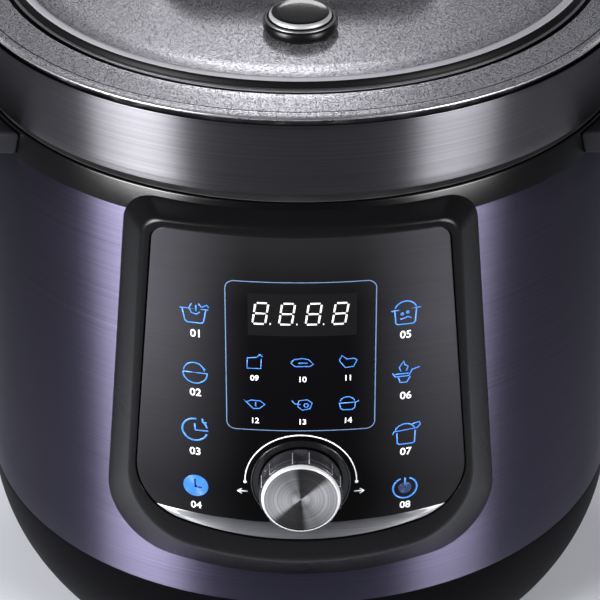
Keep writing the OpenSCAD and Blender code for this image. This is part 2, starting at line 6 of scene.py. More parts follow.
import bpy
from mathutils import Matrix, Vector


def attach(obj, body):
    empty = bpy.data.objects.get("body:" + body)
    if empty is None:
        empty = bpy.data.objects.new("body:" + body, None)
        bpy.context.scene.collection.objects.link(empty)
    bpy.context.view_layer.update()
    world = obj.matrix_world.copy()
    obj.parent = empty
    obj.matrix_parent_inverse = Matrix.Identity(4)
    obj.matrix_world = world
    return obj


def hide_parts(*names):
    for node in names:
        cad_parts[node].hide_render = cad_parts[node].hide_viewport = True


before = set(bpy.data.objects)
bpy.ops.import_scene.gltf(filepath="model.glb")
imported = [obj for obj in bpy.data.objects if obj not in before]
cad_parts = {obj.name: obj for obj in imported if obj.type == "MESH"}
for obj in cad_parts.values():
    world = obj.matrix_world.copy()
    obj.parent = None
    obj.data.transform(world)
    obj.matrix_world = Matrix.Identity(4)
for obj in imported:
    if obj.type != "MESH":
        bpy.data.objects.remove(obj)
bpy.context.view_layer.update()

MM = 0.001


# ----------------------------------------------------------
# Studio: a pale floor with painted shade that darkens it near the camera, soft lights above and behind, and
# two tall strip lights at the sides, which the brushed metal stretches into upright highlights.
# ----------------------------------------------------------
def linear(red, green, blue):
    """A colour given in screen values, 0 to 255, as the linear values that a shader takes."""
    levels = [value / 255 for value in (red, green, blue)]
    return tuple(v / 12.92 if v < 10.3 / 255 else ((v + 0.055) / 1.055) ** 2.4 for v in levels) + (1.0,)


def new_material(name, settings=None):
    """A node material that holds only a Principled shader, with its settings, and its output."""
    material = bpy.data.materials.new(name)
    material.use_nodes = True
    tree = material.node_tree
    tree.nodes.clear()
    shader = node_of(tree, "BsdfPrincipled", settings)
    feed(node_of(tree, "OutputMaterial"), Surface=shader)
    return material, tree, shader


def socket_of(source):
    """A node's first output, or the output itself."""
    return source if isinstance(source, bpy.types.NodeSocket) else source.outputs[0]


def feed(node, **sources):
    """Links a node's inputs, named with _ for a blank, to other nodes or their outputs."""
    for name, source in sources.items():
        node.id_data.links.new(socket_of(source), node.inputs[name.replace("_", " ")])


def node_of(tree, kind, settings=None, **sources):
    """A node with the values of its inputs in settings, and the sources that feed the others."""
    node = tree.nodes.new("ShaderNode" + kind)
    for socket, value in (settings or {}).items():
        node.inputs[socket].default_value = value
    feed(node, **sources)
    return node


def object_place(tree):
    """The coordinates that a piece's own shape gives each point of it."""
    return node_of(tree, "TexCoord").outputs["Object"]


def result_of(tree, kind, operation, *terms):
    """The result of a Math or VectorMath node: each term is a number, a tuple, a node or its output."""
    node = node_of(tree, kind)
    node.operation = operation
    for socket, term in zip(node.inputs, terms):
        if isinstance(term, (bpy.types.Node, bpy.types.NodeSocket)):
            tree.links.new(socket_of(term), socket)
        else:
            socket.default_value = term
    return node.outputs["Value" if operation in ("DOT_PRODUCT", "LENGTH") else 0]


def deselect():
    bpy.ops.object.select_all(action="DESELECT")


def hold(piece):
    """Makes a piece the only selected one, and the active one."""
    deselect()
    piece.select_set(True)
    bpy.context.view_layer.objects.active = piece


def weld(threshold):
    """Joins the active mesh's points that meet and turns its faces outward."""
    bpy.ops.object.mode_set(mode="EDIT")
    bpy.ops.mesh.select_all(action="SELECT")
    bpy.ops.mesh.remove_doubles(threshold=threshold)
    bpy.ops.mesh.normals_make_consistent(inside=False)
    bpy.ops.object.mode_set(mode="OBJECT")


def paint(thing, material):
    """Gives a piece, or the CAD node of that name, one material all over."""
    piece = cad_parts[thing] if isinstance(thing, str) else thing
    piece.data.materials.clear()
    piece.data.materials.append(material)


def finish_faces(piece, material, chosen):
    """Adds a material for the faces whose centre, in millimetres, the test picks."""
    slot = len(piece.data.materials)
    piece.data.materials.append(material)
    for face in piece.data.polygons:
        if chosen(face.center / MM):
            face.material_index = slot


CAMERA_HEIGHT = 827.1
CAMERA_DISTANCE = 1100
CAMERA_PITCH = 32.75
CAMERA_ORBIT = math.radians(0.15)
FOCAL_PIXELS = 2827
PHOTO_PIXELS = 600
SENSOR = 36

camera_data = bpy.data.cameras.new("camera")
camera = bpy.data.objects.new("camera", camera_data)
bpy.context.scene.collection.objects.link(camera)
camera.location = (-CAMERA_DISTANCE * math.sin(CAMERA_ORBIT) * MM,
                   -CAMERA_DISTANCE * math.cos(CAMERA_ORBIT) * MM, CAMERA_HEIGHT * MM)
camera.rotation_euler = (math.radians(90 - CAMERA_PITCH), 0, -CAMERA_ORBIT)
camera_data.sensor_width = SENSOR
camera_data.lens = FOCAL_PIXELS / PHOTO_PIXELS * SENSOR
camera_data.shift_x = 0.0003
camera_data.clip_start = 0.05
bpy.context.scene.camera = camera
bpy.context.scene.view_settings.view_transform = "Standard"

deselect()
bpy.ops.mesh.primitive_plane_add(size=9, location=(0, 0, 0))
table = bpy.context.object
table.name = "studio_table"

table_material, tree, shader = new_material("studio_table_paint", {"Roughness": 0.45})
place = object_place(tree)
across = node_of(tree, "SeparateXYZ", Vector=place)
# Painted shade: the floor's colour darkens towards the camera, in front of the cooker.
painted_front_shade = node_of(tree, "MapRange", {"From Min": -0.6, "From Max": -0.2}, Value=across.outputs["Y"])
painted_front_shade.interpolation_type = "SMOOTHSTEP"
floor_with_painted_shade = node_of(tree, "MixRGB", {"Color1": linear(196, 198, 204), "Color2": linear(224, 226, 233)},
                 Fac=painted_front_shade)
feed(shader, Base_Color=floor_with_painted_shade)
paint(table, table_material)

world = bpy.data.worlds.new("studio")
bpy.context.scene.world = world
world.use_nodes = True
sky = world.node_tree
sky.nodes.clear()
sky_place = node_of(sky, "TexCoord")
sky_across = node_of(sky, "SeparateXYZ", Vector=sky_place.outputs["Generated"])
sky_level = node_of(sky, "MapRange", {"From Min": -0.8, "From Max": 0.2, "To Min": 0.02, "To Max": 0.16},
                    Value=sky_across.outputs["Y"])
sky_glow = node_of(sky, "Background", {"Color": (0.86, 0.89, 0.95, 1)}, Strength=sky_level)
feed(node_of(sky, "OutputWorld"), Surface=sky_glow)


def softbox(name, place, target, width, height, watts, spread=180):
    """A rectangular lamp at a place in metres, turned to face the target."""
    data = bpy.data.lights.new(name, "AREA")
    data.shape = "RECTANGLE"
    data.size = width
    data.size_y = height
    data.energy = watts
    data.spread = math.radians(spread)
    lamp = bpy.data.objects.new(name, data)
    lamp.location = place
    lamp.rotation_euler = (Vector(target) - Vector(place)).to_track_quat("-Z", "Y").to_euler()
    bpy.context.scene.collection.objects.link(lamp)
    return lamp


def around(azimuth, distance, height):
    """A place round the cooker: azimuth 0 is in front of the panel, positive to the right."""
    angle = math.radians(azimuth)
    return (distance * math.sin(angle), -distance * math.cos(angle), height)


softbox("back_softbox", (-0.04, 1.4, 1.4), (0, 0, 0.28), 0.26, 0.4, 1.9)
softbox("top_softbox", (-0.2, 0.9, 2.1), (0, 0, 0.2), 1.0, 0.9, 5)
softbox("left_strip", around(-51, 1.15, 0.5), (0, 0, 0.24), 0.58, 0.6, 4.3, spread=50)
softbox("right_strip", around(48, 1.15, 0.5), (0, 0, 0.24), 0.5, 0.6, 2.2, spread=50)
softbox("left_rim", around(-135, 1.3, 0.6), (0, 0, 0.2), 0.25, 1.1, 0.3, spread=60)
softbox("right_rim", around(135, 1.3, 0.6), (0, 0, 0.2), 0.25, 1.1, 0.3, spread=60)


# ----------------------------------------------------------
# Base shell and base plate: moulded dark plastic with a fine eroded grain. The shell turns in towards the
# table in one round flank; the plate with its air slots closes it from below with four screws.
# ----------------------------------------------------------
def grain_group():
    """Fine moulded grain: a speckle of roughness and a shallow bump, both at a given scale."""
    group = bpy.data.node_groups.new("moulded_grain", "ShaderNodeTree")
    for name in ("Scale", "Roughness", "Depth"):
        group.interface.new_socket(name, in_out="INPUT", socket_type="NodeSocketFloat")
    group.interface.new_socket("Roughness", in_out="OUTPUT", socket_type="NodeSocketFloat")
    group.interface.new_socket("Normal", in_out="OUTPUT", socket_type="NodeSocketVector")
    given = group.nodes.new("NodeGroupInput")
    result = group.nodes.new("NodeGroupOutput")
    place = object_place(group)
    fine = node_of(group, "TexNoise", {"Detail": 2.0}, Vector=place, Scale=given.outputs["Scale"])
    cloudy = node_of(group, "TexNoise", {"Scale": 22.0, "Detail": 3.0}, Vector=place)
    spread = node_of(group, "MapRange", {"To Min": -0.05, "To Max": 0.05}, Value=cloudy)
    total = result_of(group, "Math", "ADD", given.outputs["Roughness"], spread)
    bump = node_of(group, "Bump", {"Distance": 0.0002}, Height=fine, Strength=given.outputs["Depth"])
    feed(result, Roughness=total, Normal=bump)
    return group


moulded_grain = grain_group()


def plastic(name, colour, roughness, depth, scale=2600.0, coat=0.0, specular=0.5):
    """Moulded plastic or rubber: one colour, with the shared grain on its roughness and normal."""
    material, tree, shader = new_material(name, {
        "Base Color": colour, "Specular IOR Level": specular, "Coat Weight": coat,
        "Coat Roughness": 0.06})
    grain = tree.nodes.new("ShaderNodeGroup")
    grain.node_tree = moulded_grain
    grain.inputs["Scale"].default_value = scale
    grain.inputs["Roughness"].default_value = roughness
    grain.inputs["Depth"].default_value = depth
    feed(shader, Roughness=grain.outputs["Roughness"], Normal=grain.outputs["Normal"])
    return material


base_plastic = plastic("base_plastic", linear(3, 3, 5), 0.5, 0.3, specular=0.03)
plate_plastic = plastic("base_plate_plastic", linear(44, 43, 48), 0.6, 0.7)
paint("base_plate", plate_plastic)


def turned(name, profile, steps=200, axis_at=(0, 0)):
    """A piece turned round an upright axis from a profile of (radius, height) points, in millimetres."""
    deselect()
    bpy.ops.mesh.primitive_plane_add(size=MM, location=(0, 0, 0))
    piece = bpy.context.object
    piece.name = name
    bpy.ops.object.mode_set(mode="EDIT")
    bpy.ops.mesh.select_all(action="SELECT")
    bpy.ops.mesh.merge(type="CENTER")
    radius, height = profile[0]
    bpy.ops.transform.translate(value=((axis_at[0] + radius) * MM, axis_at[1] * MM, height * MM))
    for (r0, z0), (r1, z1) in zip(profile, profile[1:]):
        step = ((r1 - r0) * MM, 0, (z1 - z0) * MM)
        bpy.ops.mesh.extrude_region_move(TRANSFORM_OT_translate={"value": step})
    bpy.ops.mesh.select_all(action="SELECT")
    centre = (axis_at[0] * MM, axis_at[1] * MM, 0)
    bpy.ops.mesh.spin(steps=steps, angle=2 * math.pi, center=centre, axis=(0, 0, 1))
    weld(0.000002)
    bpy.ops.object.shade_smooth_by_angle(angle=math.radians(35))
    return piece


def arc(centre, radius, start, end, count):
    """Points of a profile along a circle, from the start angle to the end angle in degrees."""
    turns = [math.radians(start + (end - start) * i / count) for i in range(count + 1)]
    return [(centre[0] + radius * math.cos(a), centre[1] + radius * math.sin(a)) for a in turns]


base_profile = [(110, 8), (110, 5.6), (110.6, 5)]
base_profile += arc((59, 57), 86, -37.2, -1, 30)
base_profile += [(144.9, 56.6), (144.5, 57), (144.1, 57), (144.1, 62.6), (143.7, 63), (141.9, 63),
                 (141.5, 62.6)]
base_profile += arc((59, 57), 83, -3.2, -36.2, 16)
base_profile += [(110, 8)]
base_shell = turned("moulded_base_shell", base_profile)


def cutter_box(low, high):
    """A block that cuts a piece, given by its lowest and highest corner in millimetres."""
    deselect()
    middle = [(a + b) / 2 * MM for a, b in zip(low, high)]
    size = [(b - a) * MM for a, b in zip(low, high)]
    bpy.ops.mesh.primitive_cube_add(size=1, location=(0, 0, 0))
    bpy.ops.transform.resize(value=size)
    bpy.ops.transform.translate(value=middle)
    bpy.ops.object.transform_apply(location=True, scale=True)
    return bpy.context.object


def cutter_bar(at, radius, bottom, top, vertices=48):
    """An upright round bar that cuts a hole."""
    deselect()
    bpy.ops.mesh.primitive_cylinder_add(
        vertices=vertices, radius=radius * MM, depth=(top - bottom) * MM,
        location=(at[0] * MM, at[1] * MM, (top + bottom) / 2 * MM))
    bpy.ops.object.transform_apply(location=True)
    return bpy.context.object


def cut(piece, cutters):
    """Cuts each cutter out of the piece and takes the cutter away."""
    for cutter in cutters:
        knife = piece.modifiers.new("cut", "BOOLEAN")
        knife.object = cutter
        knife.operation = "DIFFERENCE"
        knife.solver = "EXACT"
        bpy.context.view_layer.objects.active = piece
        bpy.ops.object.modifier_apply(modifier="cut")
        bpy.data.objects.remove(cutter)
    hold(piece)
    bpy.ops.object.shade_smooth_by_angle(angle=math.radians(35))


screw_places = arc((0, 0), 115, 45, 315, 3)
inlet_hole = cutter_box((-14, 112, 19), (14, 160, 39))
cut(base_shell, [inlet_hole] + [cutter_bar(place, 4, 4, 6.6, 32) for place in screw_places]
    + [cutter_bar(place, 2.2, 6, 9, 24) for place in screw_places])
paint(base_shell, base_plastic)
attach(base_shell, "housing")
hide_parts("base_shell")


# ----------------------------------------------------------
# Feet and base screws: two curved rubber pads moulded round the screw heads, with softened edges, and four
# zinc-plated pan-head screws.
# ----------------------------------------------------------
def softened(node, name, bevel, segments=3, angle=40):
    """A copy of a CAD node as one closed skin, with flat faces joined up and its edges rounded."""
    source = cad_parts[node]
    deselect()
    piece = source.copy()
    piece.data = source.data.copy()
    piece.name = name
    piece.animation_data_clear()
    piece.parent = None
    bpy.context.scene.collection.objects.link(piece)
    piece.matrix_world.identity()
    piece.hide_render = False
    hold(piece)
    bpy.ops.object.mode_set(mode="EDIT")
    bpy.ops.mesh.select_all(action="SELECT")
    bpy.ops.mesh.remove_doubles(threshold=0.00001)
    bpy.ops.mesh.dissolve_limited(angle_limit=math.radians(0.6))
    bpy.ops.object.mode_set(mode="OBJECT")
    if bevel:
        edge = piece.modifiers.new("rounded_edges", "BEVEL")
        edge.width = bevel * MM
        edge.segments = segments
        edge.limit_method = "ANGLE"
        edge.angle_limit = math.radians(angle)
        edge.miter_outer = "MITER_ARC"
        edge.use_clamp_overlap = True
        bpy.ops.object.modifier_apply(modifier="rounded_edges")
    bpy.ops.object.shade_smooth_by_angle(angle=math.radians(35))
    return piece


foot_rubber = plastic("foot_rubber", linear(24, 24, 25), 0.75, 0.9, scale=1800.0)
for side in ("front", "rear"):
    pad = softened("foot_" + side, "rubber_pad_" + side, 0.7)
    paint(pad, foot_rubber)
    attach(pad, "housing")
    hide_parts("foot_" + side)


def darker(colour, share):
    return tuple(value * share for value in colour[:3]) + (1,)


def zinc(name, colour, roughness, metallic=1.0):
    """Plated or cast metal, with a slow cloud in its roughness and a faint crystal bump."""
    material, tree, shader = new_material(name, {"Metallic": metallic})
    place = object_place(tree)
    cloud = node_of(tree, "TexNoise", {"Scale": 90.0, "Detail": 4.0}, Vector=place)
    spread = node_of(tree, "MapRange", {"To Min": roughness - 0.08, "To Max": roughness + 0.08},
                     Value=cloud)
    tint = node_of(tree, "MixRGB", {"Color1": colour, "Color2": darker(colour, 0.8)}, Fac=cloud)
    crystal = node_of(tree, "TexVoronoi", {"Scale": 1400.0}, Vector=place)
    bump = node_of(tree, "Bump", {"Strength": 0.12, "Distance": 0.0002}, Height=crystal.outputs["Distance"])
    feed(shader, Roughness=spread, Base_Color=tint, Normal=bump)
    return material


screw_zinc = zinc("screw_zinc", linear(196, 197, 200), 0.3)
paint("base_screws", screw_zinc)


# ----------------------------------------------------------
# Outer sleeve: one sheet of stainless steel rolled into a tube, brushed round its girth and coated in a
# transparent dark violet-blue. Its two edges are hemmed; the panel covers the opening at the front.
# ----------------------------------------------------------
def brushed_group():
    """Lines of a brushed finish: fine long scratches with a few deeper ones, given stretched coordinates."""
    group = bpy.data.node_groups.new("brushed_lines", "ShaderNodeTree")
    group.interface.new_socket("Vector", in_out="INPUT", socket_type="NodeSocketVector")
    for name in ("Roughness", "Spread", "Depth"):
        group.interface.new_socket(name, in_out="INPUT", socket_type="NodeSocketFloat")
    for name in ("Shade", "Roughness"):
        group.interface.new_socket(name, in_out="OUTPUT", socket_type="NodeSocketFloat")
    group.interface.new_socket("Normal", in_out="OUTPUT", socket_type="NodeSocketVector")
    given = group.nodes.new("NodeGroupInput")
    result = group.nodes.new("NodeGroupOutput")
    fine = node_of(group, "TexNoise", {"Scale": 1.0, "Detail": 4.0, "Roughness": 0.65},
                   Vector=given.outputs["Vector"])
    coarse = node_of(group, "TexNoise", {"Scale": 0.23, "Detail": 2.0}, Vector=given.outputs["Vector"])
    both = result_of(group, "Math", "MULTIPLY_ADD", coarse, 0.35, fine)
    shade = node_of(group, "MapRange", {"From Min": 0.42, "From Max": 0.95}, Value=both)
    centred = result_of(group, "Math", "SUBTRACT", shade, 0.5)
    rough = result_of(group, "Math", "MULTIPLY_ADD", centred, given.outputs["Spread"],
                      given.outputs["Roughness"])
    bump = node_of(group, "Bump", {"Distance": 0.0001}, Height=shade, Strength=given.outputs["Depth"])
    feed(result, Shade=shade, Roughness=rough, Normal=bump)
    return group


brushed_lines = brushed_group()


def brushed(name, dark, light, roughness, spread, depth, stretch, anisotropic, axis="Z"):
    """Brushed metal: stretch gives how fast the lines change along X, Y and Z, axis what they run round."""
    material, tree, shader = new_material(name, {
        "Metallic": 1.0, "Anisotropic": anisotropic, "Anisotropic Rotation": 0.25})
    place = object_place(tree)
    mapping = node_of(tree, "Mapping", {"Scale": stretch}, Vector=place)
    lines = tree.nodes.new("ShaderNodeGroup")
    lines.node_tree = brushed_lines
    lines.inputs["Roughness"].default_value = roughness
    lines.inputs["Spread"].default_value = spread
    lines.inputs["Depth"].default_value = depth
    feed(lines, Vector=mapping)
    tint = node_of(tree, "MixRGB", {"Color1": dark, "Color2": light}, Fac=lines.outputs["Shade"])
    tangent = tree.nodes.new("ShaderNodeTangent")
    tangent.direction_type = "RADIAL"
    tangent.axis = axis
    feed(shader, Base_Color=tint, Roughness=lines.outputs["Roughness"], Normal=lines.outputs["Normal"],
         Tangent=tangent)
    return material


SLEEVE_RADIUS = 145
sleeve_profile = [(144.2, 57.5), (144.3, 57.15), (144.6, 57.0), (144.88, 57.12), (145, 57.5)]
sleeve_profile += [(145, 57.5 + 187.4 * i / 12) for i in range(1, 13)]
sleeve_profile += [(144.88, 245.28), (144.6, 245.4), (144.3, 245.25), (144.2, 244.9), (144.2, 57.5)]
sleeve = turned("rolled_sleeve", sleeve_profile, steps=240)
cut(sleeve, [cutter_box((-53, -160, 111), (53, -100, 240))])
sleeve_steel = brushed("sleeve_steel", linear(64, 61, 77), linear(86, 83, 103), 0.44, 0.08, 0.08,
                       (5.0, 5.0, 4200.0), 1.0)
paint(sleeve, sleeve_steel)
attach(sleeve, "housing")
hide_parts("outer_sleeve")


# ----------------------------------------------------------
# Neck ring and side handles: satin dark plastic. The ring closes the sleeve's upper edge, slopes in
# towards the lid and carries the pot's flange; a flat wing with a finger recess juts out on each side.
# ----------------------------------------------------------
neck_plastic = plastic("neck_plastic", linear(4, 4, 5), 0.2, 0.12, specular=0.34)
neck = turned("moulded_neck_ring", [
    (134, 252), (134, 254.4), (141.2, 254.4), (141.2, 256.1), (141.5, 256.4), (142.5, 256.4),
    (142.9, 256.1), (143.05, 255.7), (144.9, 245.9), (145, 245.45), (144.1, 245.4), (144.1, 237.8),
    (143.8, 237.4), (141.4, 237.4), (141.4, 252), (134, 252)], steps=240)
paint(neck, neck_plastic)
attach(neck, "housing")
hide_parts("neck_ring")

handle_plastic = plastic("handle_plastic", linear(27, 27, 31), 0.4, 0.45, specular=0.15)
for side in ("left", "right"):
    wing = softened("handle_" + side, "side_handle_" + side, 1.5, segments=4, angle=50)
    paint(wing, handle_plastic)
    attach(wing, "housing")
    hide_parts("handle_" + side)


# ----------------------------------------------------------
# Panel frame: one satin dark moulding that grows out of the sleeve to a crease round a leaning, gently
# bowed front. The lens sits in a shelf inside the crease; four bosses behind carry the control board.
# ----------------------------------------------------------
PANEL_RADIUS = 205
PANEL_REACH = 158
PANEL_LEAN = math.radians(3)
LENS_THICKNESS = 2
SHELF_DEPTH = LENS_THICKNESS + 0.4
SHELF_WIDTH = 3.6
SLEEVE_TOP = 245.4
NECK_SLOPE = 2 / 11


def face_point(x, z, depth=0.0):
    """The point of the leaning front at x and height z, a depth behind its surface, in millimetres."""
    out = PANEL_RADIUS - math.sqrt((PANEL_RADIUS - depth) ** 2 - x ** 2)
    up = (z - 100 + out * math.sin(PANEL_LEAN)) / math.cos(PANEL_LEAN)
    return (x, -PANEL_REACH + out * math.cos(PANEL_LEAN) + up * math.sin(PANEL_LEAN), z)


def sleeve_point(x, z, radius=SLEEVE_RADIUS):
    """The point of the sleeve, or of the neck ring above it, at x and height z."""
    here = radius - max(0.0, z - SLEEVE_TOP) * NECK_SLOPE
    return (x, -math.sqrt(here ** 2 - x ** 2), z)


def rounded_outline(corners, arc_count=14, side_count=8):
    """A closed outline of (x, z) points from corners of (x, z, radius), with points on its arcs and sides."""
    bends = []
    total = len(corners)
    for i, (x, z, radius) in enumerate(corners):
        here = Vector((x, z))
        back = (Vector(corners[i - 1][:2]) - here).normalized()
        ahead = (Vector(corners[(i + 1) % total][:2]) - here).normalized()
        half = back.angle(ahead) / 2
        centre = here + (back + ahead).normalized() * (radius / math.sin(half))
        first = here + back * (radius / math.tan(half)) - centre
        last = here + ahead * (radius / math.tan(half)) - centre
        start = math.atan2(first.y, first.x)
        turn = (math.atan2(last.y, last.x) - start + math.pi) % (2 * math.pi) - math.pi
        angles = [start + turn * k / arc_count for k in range(arc_count + 1)]
        bends.append([(centre.x + radius * math.cos(a), centre.y + radius * math.sin(a)) for a in angles])
    points = []
    for i, bend in enumerate(bends):
        points += bend
        (x0, z0), (x1, z1) = bend[-1], bends[(i + 1) % total][0]
        points += [(x0 + (x1 - x0) * k / side_count, z0 + (z1 - z0) * k / side_count)
                   for k in range(1, side_count)]
    return points


def mirrored(corners):
    """A panel outline's corners, from the top middle down the right side, and back up the left."""
    return corners + [(-x, z, radius) for x, z, radius in reversed(corners[1:-1])]


def lens_outline(inset):
    """The lens's outline, drawn in all round by the inset."""
    return rounded_outline(mirrored([
        (0, 245.4 - inset, 400 - inset), (59.6 - inset, 246.1 - inset, max(6.5 - inset, 0.4)),
        (70.7 - inset, 112 + inset, 25 - inset), (0, 95 + inset, 205 - inset)]))


sleeve_outline = rounded_outline(mirrored([(0, 253.9, 600), (70.2, 253.4, 14), (84.9, 78, 28), (0, 72, 520)]))
crease_outline = rounded_outline(mirrored([(0, 249.3, 400), (63, 249.2, 9), (74.3, 100, 32), (0, 87.2, 240)]))


def skinned(name, rings, closed_along=False, angle=35):
    """A skin stretched over rings with the same count of points each, from a grid whose seam is welded."""
    deselect()
    rows = [ring + ring[:1] for ring in rings]
    if closed_along:
        rows.append(rows[0])
    bpy.ops.mesh.primitive_grid_add(
        x_subdivisions=len(rows[0]) - 1, y_subdivisions=len(rows) - 1, size=1, location=(0, 0, 0))
    piece = bpy.context.object
    piece.name = name
    for vertex, place in zip(piece.data.vertices, [point for row in rows for point in row]):
        vertex.co = Vector(place) * MM
    weld(0.000002)
    bpy.ops.object.shade_smooth_by_angle(angle=math.radians(angle))
    return piece


def between(start, end, share):
    return tuple(a + (b - a) * share for a, b in zip(start, end))


def bend_rings(before, corner, after, radius, steps):
    """Rings that round a corner ring off by about the radius, between the rings before and after it."""
    rings = [[] for _ in range(steps + 1)]
    for a, b, c in zip(before, corner, after):
        start = between(b, a, min(0.45, radius / max(math.dist(a, b), 1e-6)))
        end = between(b, c, min(0.45, radius / max(math.dist(b, c), 1e-6)))
        for k in range(steps + 1):
            t = k / steps
            rings[k].append(between(between(start, b, t), between(b, end, t), t))
    return rings


foot_ring = [sleeve_point(x, z) for x, z in sleeve_outline]
crease_ring = [face_point(x, z) for x, z in crease_outline]
lip_ring = [face_point(x, z) for x, z in lens_outline(0)]
shelf_edge_ring = [face_point(x, z, SHELF_DEPTH) for x, z in lens_outline(0)]
shelf_outline = lens_outline(SHELF_WIDTH)
shelf_ring = [face_point(x, z, SHELF_DEPTH) for x, z in shelf_outline]
back_ring = [sleeve_point(x, z) for x, z in shelf_outline]
wall_rings = [[between(a, b, t) for a, b in zip(foot_ring, crease_ring)] for t in (0.0, 0.2, 0.4, 0.6)]
frame_rings = wall_rings + bend_rings(foot_ring, crease_ring, lip_ring, 2.2, 8)
frame_rings += bend_rings(crease_ring, lip_ring, shelf_edge_ring, 0.35, 4)
frame_rings += [shelf_edge_ring, shelf_ring, back_ring]
back_rings = [[sleeve_point(x0 + (x1 - x0) * t, z0 + (z1 - z0) * t)
               for (x0, z0), (x1, z1) in zip(shelf_outline, sleeve_outline)] for t in (0.35, 0.7)]
panel_frame = skinned("moulded_panel_frame", frame_rings + back_rings, closed_along=True, angle=32)
panel_plastic = plastic("panel_plastic", linear(8, 8, 9), 0.27, 0.2, specular=0.17)
paint(panel_frame, panel_plastic)
lip_plastic = plastic("panel_lip_plastic", linear(9, 9, 10), 0.24, 0.2, specular=0.16)
finish_faces(panel_frame, lip_plastic, lambda at: abs(at.y - face_point(at.x, at.z)[1]) < 0.12)
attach(panel_frame, "housing")
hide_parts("panel_frame")


# ----------------------------------------------------------
# Panel lens and crescent: a glossy black window whose colour carries a painted reflection that lightens it to
# dark silver at its sides and painted shade that darkens its lower part, and a polished crescent let into its
# lower edge, with painted highlight and shade along it.
# ----------------------------------------------------------
LENS_DEPTH = 0.4
LENS_MIDDLE = 176


def multiplied(tree, first, second):
    """The product of two colours, or of a colour and a number."""
    product = node_of(tree, "MixRGB", {"Fac": 1.0}, Color1=first, Color2=second)
    product.blend_type = "MULTIPLY"
    return product


def shade_by(material, factor):
    """Multiplies what feeds a material's base colour by a colour or a number."""
    shader = material.node_tree.nodes["Principled BSDF"]
    colour = shader.inputs["Base Color"].links[0].from_socket
    feed(shader, Base_Color=multiplied(material.node_tree, colour, factor))


def shrunk(outline, share):
    """The outline drawn towards the lens's middle."""
    return [(x * share, LENS_MIDDLE + (z - LENS_MIDDLE) * share) for x, z in outline]


lens_edge = lens_outline(0.6)
lens_top = lens_outline(0.95)
lens_rings = [[face_point(x, z, SHELF_DEPTH) for x, z in shrunk(lens_edge, t)] for t in (0.001, 0.5, 1)]
for outline, depth in ((lens_edge, 0.35), (lens_outline(0.7), 0.1), (lens_top, 0)):
    lens_rings.append([face_point(x, z, LENS_DEPTH + depth) for x, z in outline])
lens_rings += [[face_point(x, z, LENS_DEPTH) for x, z in shrunk(lens_top, t)]
               for t in (0.97, 0.92, 0.85, 0.77, 0.68, 0.59, 0.5, 0.41, 0.32, 0.23, 0.14, 0.06, 0.001)]
panel_lens = skinned("glossy_panel_lens", lens_rings, angle=30)

lens_black, tree, shader = new_material("lens_black", {"Specular IOR Level": 0.07})
place = object_place(tree)
across = node_of(tree, "SeparateXYZ", Vector=place)
distance = result_of(tree, "Math", "ABSOLUTE", across.outputs["X"])
# Painted reflection: the lens is lighter towards its sides, dark silver at the edges.
painted_side_reflection = node_of(tree, "MapRange", {"From Min": 0.018, "From Max": 0.068}, Value=distance)
painted_side_reflection.interpolation_type = "SMOOTHSTEP"
# The dark middle is lighter towards the top.
top_fade = node_of(tree, "MapRange", {"From Min": 0.214, "From Max": 0.24}, Value=across.outputs["Z"])
middle = node_of(tree, "MixRGB", {"Color1": linear(6, 6, 7), "Color2": linear(24, 24, 25)}, Fac=top_fade)
lens_with_side_reflection = node_of(tree, "MixRGB", {"Color2": linear(56, 56, 60)}, Fac=painted_side_reflection, Color1=middle)
streak_place = node_of(tree, "Mapping", {"Scale": (5.0, 5.0, 900.0)}, Vector=place)
streaks = node_of(tree, "TexNoise", {"Scale": 1.0, "Detail": 3.0}, Vector=streak_place)
streak_shade = node_of(tree, "MapRange", {"To Min": 0.86, "To Max": 1.14}, Value=streaks)
toned = multiplied(tree, lens_with_side_reflection, streak_shade)
# Painted shade: the lens darkens towards its bottom.
painted_low_shade = node_of(tree, "MapRange", {"From Min": 0.125, "From Max": 0.205, "To Min": 0.28},
                   Value=across.outputs["Z"])
lens_colour_with_shade = multiplied(tree, toned, painted_low_shade)
haze = node_of(tree, "TexNoise", {"Scale": 40.0}, Vector=place)
haze_range = node_of(tree, "MapRange", {"To Min": 0.10, "To Max": 0.16}, Value=haze)
feed(shader, Base_Color=lens_colour_with_shade, Roughness=haze_range)
paint(panel_lens, lens_black)
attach(panel_lens, "housing")
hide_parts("panel_lens")

TRIM_TOP = 109.9
TRIM_ARC = 520
TRIM_DEPTH = 0.2
TRIM_BACK = 1.4


def trim_upper(x):
    """The height of the crescent's upper edge, one wide arc."""
    return TRIM_TOP + TRIM_ARC - math.sqrt(TRIM_ARC ** 2 - x ** 2)


lower_edge = sorted(point for point in lens_outline(0.7) if point[1] < 122)


def trim_lower(x):
    """The height of the crescent's lower edge, which follows the lens."""
    for (x0, z0), (x1, z1) in zip(lower_edge, lower_edge[1:]):
        if x0 <= x <= x1 and x1 > x0:
            return z0 + (z1 - z0) * (x - x0) / (x1 - x0)
    return 999


